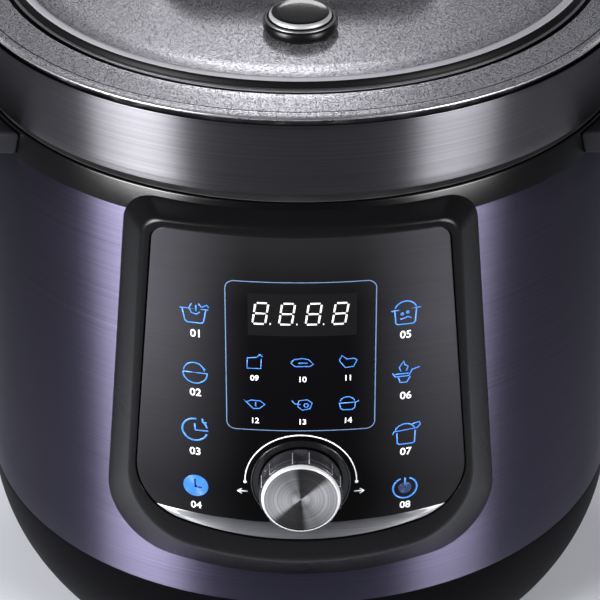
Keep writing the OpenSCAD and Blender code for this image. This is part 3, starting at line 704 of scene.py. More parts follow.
tip = max(x / 20 for x in range(800, 1400) if trim_upper(x / 20) > trim_lower(x / 20) + 0.05)
sections = []
for i in range(121):
    x = tip * math.sin(math.radians(-90 + 180 * i / 120))
    low, high = trim_lower(x), trim_upper(x)
    soft = min(0.4, (high - low) / 4)
    edge, bend = TRIM_DEPTH + soft, TRIM_DEPTH + soft * 0.3
    section = [(low, TRIM_BACK), (low, edge), (low + soft * 0.3, bend), (low + soft, TRIM_DEPTH),
               ((low + high) / 2, TRIM_DEPTH), (high - soft, TRIM_DEPTH), (high - soft * 0.3, bend),
               (high, edge), (high, TRIM_BACK)]
    sections.append([face_point(x, z, depth) for z, depth in section])
for end, side in ((0, -1), (-1, 1)):
    sections[end] = [face_point(side * (tip + 0.3), trim_upper(tip), 0.8)] * 9
crescent = skinned("polished_crescent", sections, angle=40)
crescent_metal = brushed("crescent_metal", linear(196, 196, 200), linear(232, 232, 235), 0.36, 0.06, 0.04,
                         (9.0, 9.0, 3800.0), 0.8)
tree = crescent_metal.node_tree
# Painted highlight and shade along the crescent: its colour is lighter at its ends, brightest at the left,
# and darker in the middle.
along = node_of(tree, "SeparateXYZ", Vector=object_place(tree))
reach = node_of(tree, "MapRange", {"From Min": -0.07, "From Max": 0.07}, Value=along.outputs["X"])
glow = node_of(tree, "ValToRGB", Fac=reach)
for stop in glow.color_ramp.elements:
    stop.color = (1, 1, 1, 1)
for where, tone in ((0.12, 1.0), (0.3, 0.45), (0.55, 0.3), (0.75, 0.5), (0.85, 0.75)):
    glow.color_ramp.elements.new(where).color = (tone, tone, tone, 1)
shade_by(crescent_metal, glow)
paint(crescent, crescent_metal)
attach(crescent, "housing")
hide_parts("trim_strip")


# ----------------------------------------------------------
# Panel print: the frame line round the display, the dial's arc and arrows, the programme symbols and
# their numbers, printed on the lens in blue and white, and the display's dark window and lit digits.
# ----------------------------------------------------------
def printed(name, strokes, width, lift):
    """Lines drawn on the lens: each stroke is a list of (x, z) points; they become one thin raised print."""
    deselect()
    data = bpy.data.curves.new(name, "CURVE")
    data.dimensions = "3D"
    data.bevel_depth = width / 2 * MM
    data.bevel_resolution = 1
    data.use_fill_caps = True
    for points in strokes:
        spline = data.splines.new("POLY")
        closed = len(points) > 3 and math.dist(points[0], points[-1]) < 0.01
        kept = points[:-1] if closed else points
        spline.points.add(len(kept) - 1)
        for target, (x, z) in zip(spline.points, kept):
            target.co = (x * MM, 0, z * MM, 1)
        spline.use_cyclic_u = closed
    line = bpy.data.objects.new(name, data)
    bpy.context.scene.collection.objects.link(line)
    return laid_on_lens(line, lift / (width / 2))


def laid_on_lens(flat, squeeze):
    """Makes a flat drawing a mesh and bends it onto the lens; squeeze flattens its thickness."""
    hold(flat)
    bpy.ops.object.convert(target="MESH")
    piece = bpy.context.object
    for vertex in piece.data.vertices:
        x, thickness, z = (value / MM for value in vertex.co)
        vertex.co = Vector(face_point(x, z, LENS_DEPTH + thickness * squeeze)) * MM
    weld(0.000001)
    return piece


def circle(x, z, radius, start=0, end=360, count=36):
    """A round stroke on the lens, or a part of one between two angles in degrees."""
    return arc((x, z), radius, start, end, count)


def moved(strokes, x, z):
    """Strokes drawn round the origin, set down at a place on the lens."""
    return [[(x + px, z + pz) for px, pz in stroke] for stroke in strokes]


def ink(name, colour, roughness, glow=0.0):
    """Screen-printed ink: an even colour with a slight mottle, and a glow where a lamp stands behind it."""
    material, tree, shader = new_material(name)
    place = object_place(tree)
    mottle = node_of(tree, "TexNoise", {"Scale": 700.0, "Detail": 2.0}, Vector=place)
    tint = node_of(tree, "MixRGB", {"Color1": darker(colour, 0.88), "Color2": colour}, Fac=mottle)
    spread = node_of(tree, "MapRange", {"To Min": roughness - 0.05, "To Max": roughness + 0.05},
                     Value=mottle)
    feed(shader, Base_Color=tint, Roughness=spread)
    if glow:
        feed(shader, Emission_Color=tint)
        shader.inputs["Emission Strength"].default_value = glow
    return material


bowl = [[(-5.4, 2.2), (-4.4, -3.4), (-3.4, -4.2), (2.4, -4.2), (3.2, -3.4), (4.2, 2.2)],
        [(-6.4, 2.2), (5.2, 2.2)], [(-1.6, 4.6), (-2.6, 2.6), (-1.8, 0.4), (0.4, -0.2), (1.8, 1.0)],
        [(1.2, 4.8), (2.4, 3.2), (4.6, 4.4), (5.4, 3.2)], [(0.2, 4.0), (0.2, 1.2)]]
rice_bowl = [circle(0, 0, 5, 180, 360, 20), [(-5, 0), (5, 0)], circle(-0.4, 0.4, 4.3, 8, 174, 16),
             [(1.6, 4.4), (4.2, 1.8)]]
timer = [circle(0, 0, 5.2, 82, 340, 30), circle(0, 0, 5.2, 12, 52, 8), [(0, 3), (0.2, -0.2), (5.6, -0.2)],
         [(3.2, 5.6), (3.4, 3.9), (5.0, 3.7)]]
pot = [[(-4.6, 2.2), (-4.2, -4.0), (-3.4, -4.8), (3.0, -4.8), (3.8, -4.0), (4.2, 2.2)],
       [(-6, 1.6), (6, 2.4)], circle(-0.2, 1.2, 4.6, 20, 160, 14), circle(-1.6, 0, 0.5, count=8),
       circle(0.6, 0.6, 0.5, count=8), [(-2.4, -2.4), (-0.6, -2.0), (0.6, -1.4), (2.2, -2.2)]]
pan = [[(-5.4, 0.6), (-4.4, -1.2), (1.2, -1.2), (2.6, 1.6), (5.6, 2.4)], [(-4.4, 0), (1.2, 0)],
       [(-3, -1.6), (-2.4, -4), (0.4, -4.2), (1.8, -1.6)],
       [(-2, 1.2), (-2.8, 3.0), (-1.0, 6.0), (-0.6, 4.2), (0.8, 3.4), (0.2, 1.2)]]
casserole = [[(-3.8, 0.6), (-3.6, -4.4), (-2.8, -5), (2.8, -5), (3.6, -4.4), (3.8, 1.2)],
             [(-5.6, 0), (-5, 1.4), (4.6, 2.2), (5.8, 3.6)], circle(-0.4, 0.4, 4.4, 28, 165, 14),
             [(2.2, 4.2), (5.4, 5), (5.8, 3.6)]]
power = [circle(0, 0, 5, 112, 428, 30), [(0, 5), (0, 1.4)]]
jar = [[(-2.8, 1.6), (-3, -3), (2.6, -3), (2.8, 1.6)], [(-3, 1.8), (0.8, 2.2), (2.6, 3.8)],
       [(2.0, 3.8), (3.4, 2.6)]]
oval_dish = [[(-4.6, 0.2), (-3.4, 1.8), (0, 2.4), (2.6, 1.8), (4.6, -0.4), (3, -1.4), (-3, -1.4),
              (-4.6, 0.2)], [(-1.6, 0.2), (2.2, 0.2)]]
small_bowl = [[(-3.6, 0.6), (-2.6, 3.0), (-0.6, 1.2), (2.2, 1.4), (3.6, 0.6), (2.2, -2.4), (-1.2, -2.8),
               (-3.6, 0.6)]]
fish = [[(-4.4, 1.8), (-3.4, 0.8), (-1.4, 1.8), (2.2, 1.6), (4.2, 0), (2, -2), (-0.6, -2.2), (-2.8, 0.2),
         (-4.4, 1.8)], [(0.4, 1.0), (0.4, -1.2)]]
ladle = [[(-4.2, 2.2), (-3.2, 0.6), (-0.6, 0.2)],
         [(-1.4, 2.0), (2, 2.6), (4, 1), (3.2, -1.8), (0, -2.4), (-1.8, -0.8), (-1.4, 2.0)],
         circle(1.6, -0.2, 0.9, count=10)]
small_pot = [[(-3.4, 0.6), (-3, -2), (-2, -2.8), (1.8, -2.8), (2.8, -2), (3.2, 0.6)],
             [(-3.6, 0.4), (3.2, 0.6), (4.6, 1.4)], circle(-0.2, 0.2, 3.2, 20, 160, 12)]
blue_large = moved(bowl, -42.3, 208) + moved(rice_bowl, -43.0, 180.3) + moved(pot, 42.4, 207.9)
blue_large += moved(pan, 42.8, 179.8) + moved(casserole, 43.4, 150.8)
blue_bold = moved(timer, -43.6, 152.9)
power_mark = moved(power, 43.4, 124.1)
power_disc = [circle(43.4, 124.1, radius) for radius in (2.4, 1.8, 1.2, 0.6)]
blue_small = moved(jar, -18.8, 187.6) + moved(oval_dish, 0.6, 187.4) + moved(small_bowl, 19.2, 187.8)
blue_small += moved(fish, -18.8, 167.7) + moved(ladle, 0.6, 167.7) + moved(small_pot, 19.2, 167.7)
filled_clock = [circle(-43.7, 125.3, radius) for radius in (4.9, 4.3, 3.7, 3.1, 2.5, 1.9, 1.3, 0.7)]
box_line = rounded_outline([(-30.3, 224.8, 3.6), (30.3, 224.8, 3.6), (30.3, 155.3, 3.6), (-30.3, 155.3, 3.6)])
blue_ink = ink("blue_ink", linear(54, 122, 210), 0.35, glow=0.22)
clock_ink = ink("clock_blue_ink", linear(42, 108, 196), 0.35, glow=0.2)
dim_ink = ink("dim_blue_ink", linear(16, 42, 80), 0.4, glow=0.05)
line_ink = ink("pale_blue_ink", linear(92, 120, 158), 0.35)
white_ink = ink("white_ink", linear(238, 240, 242), 0.4, glow=0.12)
lit_white = ink("lit_segment_white", linear(206, 205, 203), 0.5, glow=0.4)

clock_hands = [[(-44.0, 128.6), (-44.0, 124.7), (-41.2, 124.7)]]
dial_ends = [circle(side * 23.1, 129.6, 0.42, count=10) for side in (-1, 1)]
arrows = []
for side in (-1, 1):
    arrows.append([(side * 22.1, 124.9), (side * 26.2, 124.9)])
    arrows.append([(side * 24.5, 126.1), (side * 26.2, 124.9), (side * 24.5, 123.7)])

for name, strokes, width, lift, material in (
        ("printed_programme_symbols", blue_large, 0.62, 0.07, blue_ink),
        ("printed_small_symbols", blue_small, 0.5, 0.07, blue_ink),
        ("printed_timer_symbol", blue_bold, 0.85, 0.07, blue_ink),
        ("printed_power_disc", power_disc, 0.8, 0.07, dim_ink),
        ("printed_power_symbol", power_mark, 0.8, 0.12, blue_ink),
        ("printed_clock_disc", filled_clock, 0.72, 0.07, clock_ink),
        ("printed_clock_hands", clock_hands, 0.95, 0.12, lens_black),
        ("printed_display_frame", [box_line + box_line[:1]], 0.42, 0.07, line_ink),
        ("printed_dial_arc", [circle(0, 130, 23.1, 0, 180, 60)], 0.62, 0.07, white_ink),
        ("printed_dial_ends", dial_ends, 0.8, 0.07, white_ink),
        ("printed_arrows", arrows, 0.7, 0.07, white_ink)):
    piece = printed(name, strokes, width, lift)
    paint(piece, material)
    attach(piece, "housing")


def segment_digit(x, z):
    """The seven bars and the point of one lit digit, leaning to the right."""
    half, width, lean, gap = 4.8, 5.2, 0.14, 0.55
    corners = [(side * width / 2, up) for up in (half, 0, -half) for side in (-1, 1)]
    bars = [(0, 1), (2, 3), (4, 5), (0, 2), (1, 3), (2, 4), (3, 5)]
    strokes = []
    for a, b in bars:
        start, end = Vector(corners[a]), Vector(corners[b])
        along = (end - start).normalized() * gap
        strokes.append([tuple(start + along), tuple(end - along)])
    strokes.append([(width / 2 + 1.75, -half + 0.1), (width / 2 + 2.2, -half + 0.1)])
    return [[(x + px + pz * lean, z + pz) for px, pz in stroke] for stroke in strokes]


digits = [stroke for i in range(4) for stroke in segment_digit(-16.2 + i * 10.7, 210.4)]
piece = printed("lit_display_digits", digits[:-1], 0.95, 0.1)
paint(piece, lit_white)
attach(piece, "housing")


def number_on_lens(text, x, z, height):
    """A plain programme number, centred at x, its middle at height z."""
    deselect()
    bpy.ops.object.text_add(location=(0, 0, 0))
    label = bpy.context.object
    label.data.body = text
    label.data.size = height / 0.7 * MM
    label.data.align_x = "CENTER"
    label.data.align_y = "CENTER"
    label.data.offset = 0.00006
    label.data.extrude = 0.00003
    label.data.resolution_u = 4
    bpy.ops.object.convert(target="MESH")
    label = bpy.context.object
    for vertex in label.data.vertices:
        px, pz, thickness = (value / MM for value in vertex.co)
        vertex.co = Vector(face_point(x + px, z + pz, LENS_DEPTH - 0.03 - thickness)) * MM
    return label


labels = []
places = [(-42.3, 198.7, 3.4), (-43.0, 170.8, 3.4), (-43.6, 142.2, 3.4), (-43.7, 115.6, 3.2),
          (42.4, 198.1, 3.4), (42.9, 169.2, 3.4), (43.4, 142.0, 3.4), (43.6, 115.6, 3.2),
          (-18.8, 180.0, 2.5), (0.6, 179.8, 2.5), (19.2, 180.0, 2.5),
          (-18.8, 159.7, 2.5), (0.6, 159.5, 2.5), (19.2, 159.7, 2.5)]
for count, (x, z, height) in enumerate(places, start=1):
    labels.append(number_on_lens(f"{count:02d}", x, z, height))
deselect()
for label in labels:
    label.select_set(True)
bpy.context.view_layer.objects.active = labels[0]
bpy.ops.object.join()
numbers = bpy.context.object
numbers.name = "printed_programme_numbers"
bpy.ops.object.mode_set(mode="EDIT")
bpy.ops.mesh.select_all(action="SELECT")
bpy.ops.mesh.normals_make_consistent(inside=False)
bpy.ops.object.mode_set(mode="OBJECT")
paint(numbers, white_ink)
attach(numbers, "housing")

deselect()
bpy.ops.mesh.primitive_cube_add(size=1, location=(0, 0, 0))
window = bpy.context.object
window.name = "smoked_display_window"
bpy.ops.object.mode_set(mode="EDIT")
bpy.ops.mesh.subdivide(number_cuts=15)
bpy.ops.object.mode_set(mode="OBJECT")
for vertex in window.data.vertices:
    x, thickness, z = vertex.co
    depth = LENS_DEPTH + 0.08 + thickness * 0.2
    vertex.co = Vector(face_point(0.6 + x * 43.8, 209.9 + z * 19.4, depth)) * MM
bpy.ops.object.shade_smooth_by_angle(angle=math.radians(35))
window_film = plastic("display_window_film", linear(13, 13, 14), 0.4, 0.1, specular=0.1)
paint(window, window_film)
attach(window, "housing")


# ----------------------------------------------------------
# Selector knob: a spun aluminium cap with a bright rim and painted highlights and shade in wedges round its
# face, over a smoked skirt with six flutes whose edges carry painted glints. It turns on the encoder's shaft,
# in a shallow dark dish of the lens.
# ----------------------------------------------------------
KNOB_UP = 30
LEAN_SINE, LEAN_COSINE = math.sin(PANEL_LEAN), math.cos(PANEL_LEAN)
KNOB_AXIS = Vector((0, -LEAN_COSINE, LEAN_SINE))
KNOB_SLANT = Vector((0.94, -0.34 * LEAN_SINE, -0.34 * LEAN_COSINE))
KNOB_BRIGHT = Vector((0.94, 0.34 * LEAN_SINE, 0.34 * LEAN_COSINE))
KNOB_FOOT = Vector((0, -PANEL_REACH + KNOB_UP * LEAN_SINE, 100 + KNOB_UP * LEAN_COSINE))
RIM_RADIUS = 15.1
RIM_REACH = 11.0


def on_knob_axis(piece):
    """Lays a piece that was turned round the upright axis onto the knob's: its height becomes reach."""
    hold(piece)
    piece.rotation_euler = (math.radians(90) - PANEL_LEAN, 0, 0)
    piece.location = KNOB_FOOT * MM
    bpy.ops.object.transform_apply(location=True, rotation=True, scale=True)


def on_cap_rim(at):
    """Whether a point of the knob's cap lies on its bright rim."""
    reach = (at - KNOB_FOOT).dot(KNOB_AXIS)
    return reach > RIM_REACH and (at - KNOB_FOOT - KNOB_AXIS * reach).length > RIM_RADIUS


cap = turned("spun_knob_cap", [
    (0, 12.2), (4, 12.22), (8, 12.28), (12, 12.37), (14.4, 12.43), (15.0, 12.47), (15.15, 12.55),
    (15.35, 12.55), (15.6, 12.42), (15.9, 12.05), (16.2, 11.62), (16.35, 11.35), (16.4, 11.15),
    (16.3, 11.02), (14.5, 11.0), (14.5, 0.8), (14.3, 0.6), (13, 0.6), (13, 10.4), (5.5, 10.4),
    (5.5, 0.6), (2.5, 0.6), (2.5, 9.6), (0, 9.6)], steps=160)
on_knob_axis(cap)
cap_metal = brushed("spun_aluminium", linear(150, 150, 154), linear(222, 222, 226), 0.24, 0.05, 0.06,
                    (1.0, 1.0, 1.0), 0.0, axis="Y")
tree = cap_metal.node_tree
tree.nodes["Principled BSDF"].inputs["Metallic"].default_value = 0.78
mapping = next(node for node in tree.nodes if node.type == "MAPPING")
offset = result_of(tree, "VectorMath", "SUBTRACT", object_place(tree), tuple(KNOB_FOOT * MM))
outward = result_of(tree, "VectorMath", "DOT_PRODUCT", offset, tuple(KNOB_AXIS))
square = result_of(tree, "VectorMath", "CROSS_PRODUCT", offset, tuple(KNOB_AXIS))
from_axis = result_of(tree, "VectorMath", "LENGTH", square)
rings = node_of(tree, "CombineXYZ", X=from_axis, Y=outward)
feed(mapping, Vector=rings)
mapping.inputs["Scale"].default_value = (2400, 1500, 0)


def facing(direction):
    """How closely a point's way from the knob's axis follows the direction, from 0 to 1, either way."""
    along = result_of(tree, "VectorMath", "DOT_PRODUCT", offset, tuple(direction))
    return result_of(tree, "Math", "ABSOLUTE", result_of(tree, "Math", "DIVIDE", along, from_axis))


# Painted highlight and shade on the cap's face: its colour darkens in wedges away from the slant and lightens
# towards the bright side.
painted_wedge_shade = node_of(tree, "MapRange", {"From Min": 0.36, "From Max": 0.62, "To Min": 0.1, "To Max": 0.9},
                Value=facing(KNOB_SLANT))
painted_wedge_shade.interpolation_type = "SMOOTHSTEP"
painted_lit_side = node_of(tree, "MapRange", {"From Min": 0.2, "From Max": 1.0, "To Min": 0.42, "To Max": 0.95},
                    Value=facing(KNOB_BRIGHT))
painted_cap_light = result_of(tree, "Math", "MULTIPLY", painted_wedge_shade, painted_lit_side)
shade_by(cap_metal, painted_cap_light)
paint(cap, cap_metal)
# The bright rim metal also paints glints on the skirt's flute edges.
rim_and_glint_metal = zinc("polished_rim_and_painted_glints", linear(246, 246, 248), 0.24, metallic=0.6)
finish_faces(cap, rim_and_glint_metal, on_cap_rim)
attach(cap, "knob")
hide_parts("knob_cap")

SKIRT_RADIUS = 17.2
FLUTE_STEP = 60
FLUTE_FOOT = 1.6
FLUTE_RISE = 0.9
FLUTE_RADIUS = 6.5
FLUTE_CENTRE = 22.4


def flute_turn(point):
    """The angle in degrees between a point of the upright skirt and the nearest flute's middle."""
    turn = (math.degrees(math.atan2(point.y, point.x)) - 90) % FLUTE_STEP
    return min(turn, FLUTE_STEP - turn)


skirt = turned("fluted_knob_skirt", [(14.5, 0.6), (17.0, 0.6)] + [
    (SKIRT_RADIUS, height) for height in (0.8, 1.4, 1.9, 2.3, 2.6, 5.0, 8.0, 10.6)] + [
    (17.0, 10.9), (16.8, 10.98), (14.5, 10.98), (14.5, 0.6)], steps=360)
for vertex in skirt.data.vertices:
    radius = math.hypot(vertex.co.x, vertex.co.y) / MM
    height = vertex.co.z / MM
    if radius > 16 and height > FLUTE_FOOT:
        off = math.radians(flute_turn(vertex.co))
        inside = FLUTE_RADIUS ** 2 - (FLUTE_CENTRE * math.sin(off)) ** 2
        flute = FLUTE_CENTRE * math.cos(off) - math.sqrt(inside) if inside > 0 else SKIRT_RADIUS
        share = min(1.0, (height - FLUTE_FOOT) / FLUTE_RISE)
        wanted = min(radius, radius + (flute - SKIRT_RADIUS) * share)
        vertex.co.x *= wanted / radius
        vertex.co.y *= wanted / radius
knob_clear, tree, shader = new_material("knob_clear", {
    "Base Color": linear(52, 52, 57), "Transmission Weight": 0.35, "IOR": 1.49})
place = object_place(tree)
wear = node_of(tree, "TexNoise", {"Scale": 300.0, "Detail": 2.0}, Vector=place)
wear_range = node_of(tree, "MapRange", {"To Min": 0.05, "To Max": 0.16}, Value=wear)
feed(shader, Roughness=wear_range)
paint(skirt, knob_clear)
# Painted glints: narrow faces beside each flute's edges take the bright rim metal.
finish_faces(skirt, rim_and_glint_metal,
             lambda at: 10.9 < flute_turn(at) < 12.2 and 2.6 < at.z < 10.8 and at.xy.length > 16)
on_knob_axis(skirt)
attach(skirt, "knob")
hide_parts("knob_skirt")

dish = turned("knob_dish_ring", [
    (17.6, -0.35), (20.4, -0.35), (20.7, 0.0), (20.7, 0.35), (20.5, 0.45), (20.2, 0.4), (19.9, 0.1),
    (17.6, 0.0), (17.6, -0.35)], steps=96)
on_knob_axis(dish)
for vertex in dish.data.vertices:
    x, y, z = (value / MM for value in vertex.co)
    reach = (Vector((x, y, z)) - KNOB_FOOT).dot(KNOB_AXIS)
    vertex.co = Vector(face_point(x, z, LENS_DEPTH - reach)) * MM
dish_black = plastic("dish_black", linear(14, 14, 16), 0.22, 0.05, coat=0.3)
paint(dish, dish_black)
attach(dish, "housing")
shaft_metal = zinc("shaft_metal", linear(170, 170, 174), 0.3)
paint("knob_shaft", shaft_metal)


# ----------------------------------------------------------
# Lid band and shell: a brushed dark band with a slight flare and an upper edge painted black as the shade of
# the gap under the top ring, on the moulded lid, whose rim shows as a dark gap under the top ring.
# ----------------------------------------------------------
band_profile = [(143.2, 261.4), (143.25, 260.95), (143.6, 260.8), (144.0, 260.85), (144.25, 261.2)]
band_profile += [(144.25 + 2.22 * i / 8, 261.2 + 31.9 * i / 8) for i in range(1, 9)]
band_profile += [(146.45, 293.4), (146.25, 293.58), (145.95, 293.6), (145.7, 293.4), (145.95, 292.7),
                 (143.2, 261.4)]
band = turned("brushed_lid_band", band_profile, steps=240)
band_steel = brushed("band_steel", linear(88, 87, 91), linear(110, 109, 114), 0.34, 0.06, 0.05,
                     (5.0, 5.0, 4200.0), 1.0)
paint(band, band_steel)
gap_shade_black = plastic("gap_shade_black", linear(9, 9, 10), 0.4, 0.1, specular=0.06)
# Painted shade: the band's upper edge is painted near black under the top ring.
finish_faces(band, gap_shade_black, lambda at: at.z > 293.35 and at.xy.length < 146.4)
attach(band, "lid")
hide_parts("lid_band")

BUTTON_Y = -80
SHELL_RIM_RADIUS = 142
SHELL_RIM_HEIGHT = 290
RIM_DRAWN_IN = 2.2
lid_plastic = plastic("lid_plastic", linear(22, 22, 25), 0.38, 0.3, specular=0.1)
shell = softened("lid_shell", "moulded_lid_shell", 0)
cut(shell, [cutter_bar((0, BUTTON_Y), 3.9, 288, 310)])
for vertex in shell.data.vertices:
    radius = math.hypot(vertex.co.x, vertex.co.y) / MM
    if radius > SHELL_RIM_RADIUS and vertex.co.z / MM > SHELL_RIM_HEIGHT:
        vertex.co.x *= (radius - RIM_DRAWN_IN) / radius
        vertex.co.y *= (radius - RIM_DRAWN_IN) / radius
paint(shell, lid_plastic)
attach(shell, "lid")
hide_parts("lid_shell")


# ----------------------------------------------------------
# Lid top: a plate and an outer ring in a sparkling grey metallic lacquer, divided by a bead with a painted
# highlight on its top, painted shade on its outer wall, and a thin lip. The ring has a fine groove painted
# dark as shade, near an edge painted bright as a highlight.
# ----------------------------------------------------------
def flowing(points, count=4):
    """A smooth line through the points (Catmull-Rom), with count steps between two of them."""
    line = []
    padded = [points[0]] + points + [points[-1]]
    for a, b, c, d in zip(padded, padded[1:], padded[2:], padded[3:]):
        for k in range(count):
            t = k / count
            line.append(tuple(0.5 * (2 * q + (r - p) * t + (2 * p - 5 * q + 4 * r - s) * t * t
                                     + (3 * q - p - 3 * r + s) * t ** 3) for p, q, r, s in zip(a, b, c, d)))
    return line + [points[-1]]


top_ring = turned("metallic_top_ring", [
    (144.5, 295.25), (145.1, 295.0), (145.4, 295.06), (145.58, 295.3), (145.6, 295.6), (145.5, 295.95),
    (144.9, 296.3), (144.1, 296.62), (143.3, 296.85), (142.3, 297.0), (142.1, 297.0), (142.0, 296.8),
    (141.65, 296.8), (141.55, 297.03), (141.3, 297.08), (138, 297.52), (134, 298.04), (130.7, 298.5),
    (130.1, 298.5), (129.8, 298.2), (129.8, 296.0), (144.5, 295.25)], steps=240)

bead_profile = [(121.2, 297.4), (121.2, 300.9)]
bead_profile += flowing([(121.2, 301.25), (121.6, 301.65), (122.6, 301.98), (123.7, 301.96), (124.7, 301.72),
                         (125.5, 301.2), (126.05, 300.4), (126.35, 299.75), (126.55, 299.3)])
bead_profile += [(126.9, 299.16), (127.6, 299.16), (128.05, 299.2), (128.2, 299.0), (128.15, 298.7),
                 (128.0, 298.6), (126.6, 298.6), (126.6, 297.4), (121.2, 297.4)]
bead = turned("satin_lid_bead", bead_profile, steps=240)
# Painted highlight: the bead's top is a light satin grey.
bead_top_highlight = zinc("bead_top_highlight", linear(176, 174, 181), 0.5, metallic=0.55)
bead_lip = zinc("bead_lip_metal", linear(112, 111, 116), 0.42)
paint(bead, bead_top_highlight)
# Painted shade: the bead's outer wall is painted near black.
finish_faces(bead, gap_shade_black, lambda at: at.xy.length > 125.2 and at.z > 298.5)
finish_faces(bead, bead_lip, lambda at: at.xy.length > 126.85)
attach(bead, "lid")
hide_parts("lid_bead")

plate = turned("metallic_top_plate", [
    (0, 297.4), (121.15, 297.4), (121.15, 300.8), (120.95, 301.08), (120.6, 301.2)] + [
    (radius, 301.2) for radius in (110, 95, 75, 55, 35, 15, 0)], steps=200)
plate_holes = (((0, BUTTON_Y), 8), ((0, 72), 10.5), ((40, 52), 5), ((-50, 0), 2.2), ((50, 0), 2.2))
cut(plate, [cutter_bar(at, radius, 290, 310) for at, radius in plate_holes])

lid_metallic, tree, shader = new_material("lid_metallic", {"Metallic": 0.75})
place = object_place(tree)
flakes = node_of(tree, "TexVoronoi", {"Scale": 3000.0}, Vector=place)
flake_tone = node_of(tree, "SeparateColor", Color=flakes.outputs["Color"])
grit = node_of(tree, "TexNoise", {"Scale": 2000.0, "Detail": 3.0, "Roughness": 0.7}, Vector=place)
mixed = result_of(tree, "Math", "ADD", flake_tone, grit)
tone = node_of(tree, "ValToRGB", Fac=mixed)
tone.color_ramp.elements[0].position = 0.30
tone.color_ramp.elements[0].color = linear(62, 61, 66)
tone.color_ramp.elements[1].position = 1.0
tone.color_ramp.elements[1].color = linear(182, 180, 187)
tone.color_ramp.elements.new(0.78).color = linear(88, 87, 92)
shine = node_of(tree, "MapRange", {"From Min": 0.3, "From Max": 1.4, "To Min": 0.34, "To Max": 0.2},
                Value=mixed)
tilt = node_of(tree, "Bump", {"Strength": 0.09, "Distance": 0.0002}, Height=mixed)
feed(shader, Base_Color=tone, Roughness=shine, Normal=tilt)
ring_edge_highlight = zinc("ring_edge_painted_highlight", linear(214, 213, 218), 0.3)
paint(plate, lid_metallic)
paint(top_ring, lid_metallic)
# Painted shade in the ring's groove, and a painted highlight on its outer edge.
finish_faces(top_ring, gap_shade_black, lambda at: 141.5 < at.xy.length < 142.15 and at.z > 296.5)
finish_faces(top_ring, ring_edge_highlight, lambda at: at.xy.length > 144.9 and at.z > 295.5)
for piece, node in ((top_ring, "lid_top_ring"), (plate, "lid_top_plate")):
    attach(piece, "lid")
    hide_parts(node)


# ----------------------------------------------------------
# Lid handle: a glossy black moulded arch with a hole for the hand. Zinc-plated screws hold it to the
# plate from below.
# ----------------------------------------------------------
gloss_black = plastic("gloss_black", linear(13, 13, 14), 0.16, 0.08, coat=0.4)
grip = softened("lid_handle", "arched_lid_handle", 3.0, segments=6, angle=30)
paint(grip, gloss_black)
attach(grip, "lid")
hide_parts("lid_handle")
paint("handle_screws", screw_zinc)


# ----------------------------------------------------------
# Steam release button: a low black collar with a dull metal bezel, round a glossy cap with a satin rim.
# The cap is pressed to vent, and a coil spring hidden in the collar lifts it again.
# ----------------------------------------------------------
collar_profile = [(13.1, 301.2), (13.6, 301.2)]
collar_profile += flowing([(13.6, 301.3), (14.0, 301.8), (14.8, 302.6), (15.2, 303.6), (15.3, 304.7),
                           (15.1, 305.6), (14.7, 306.2), (14.3, 306.4)])
collar_profile += [(13.75, 306.5), (13.65, 306.2), (13.1, 306.2), (13.1, 301.2)]
collar = turned("button_collar", collar_profile, steps=128, axis_at=(0, BUTTON_Y))
collar_black = plastic("collar_black", linear(6, 6, 7), 0.3, 0.08, specular=0.2)
paint(collar, collar_black)
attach(collar, "lid")
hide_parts("button_housing")
bezel = turned("button_bright_bezel", [
    (13.1, 306.25), (13.6, 306.25), (13.8, 306.55), (14.3, 306.45), (14.4, 306.65), (14.25, 307.0),
    (13.9, 307.2), (13.5, 307.15), (13.25, 306.8), (13.1, 306.5), (13.1, 306.25)], steps=128,
    axis_at=(0, BUTTON_Y))
chrome = zinc("polished_chrome", linear(205, 205, 210), 0.14)
bezel_metal = zinc("bezel_metal", linear(120, 120, 124), 0.5)
paint(bezel, bezel_metal)
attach(bezel, "lid")
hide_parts("button_bezel")
push_cap = turned("steam_button_cap", [
    (0, 308.8), (4, 308.82), (8, 308.9), (11.2, 309.02), (11.65, 309.1), (11.9, 309.0), (12.3, 308.6),
    (12.6, 308.1), (12.7, 307.6), (12.7, 304.9), (12.5, 304.6), (10.5, 304.6), (10.5, 306.6), (3.5, 306.6),
    (3.5, 288.0), (3.3, 287.8), (0, 287.8)], steps=128, axis_at=(0, BUTTON_Y))
button_gloss = plastic("button_gloss", linear(15, 15, 17), 0.1, 0.02, coat=0.3)
paint(push_cap, button_gloss)
rim_satin = zinc("satin_button_rim", linear(158, 158, 161), 0.5, metallic=0.5)
finish_faces(push_cap, rim_satin, lambda at: math.hypot(at.x, at.y - BUTTON_Y) > 11.5 and at.z > 307.5)
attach(push_cap, "button")
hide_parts("release_button")
spring_steel = zinc("spring_steel", linear(150, 150, 152), 0.32)

COIL_TURNS = 6
COIL_STEPS = 24 * COIL_TURNS
COIL_RADIUS = 5.6
WIRE_RADIUS = 0.45
coil_rings = []
for i in range(COIL_STEPS + 1):
    turn = math.radians(15 * i)
    wire = circle(COIL_RADIUS, 297.9 + 8.2 * i / COIL_STEPS, WIRE_RADIUS, 0, 315, 7)
    coil_rings.append([(out * math.cos(turn), BUTTON_Y + out * math.sin(turn), up) for out, up in wire])
coil_ends = [[ring[0]] * 8 for ring in (coil_rings[0], coil_rings[-1])]
coil = skinned("button_coil_spring", coil_ends[:1] + coil_rings + coil_ends[1:], angle=60)
paint(coil, spring_steel)
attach(coil, "lid")
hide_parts("button_spring")


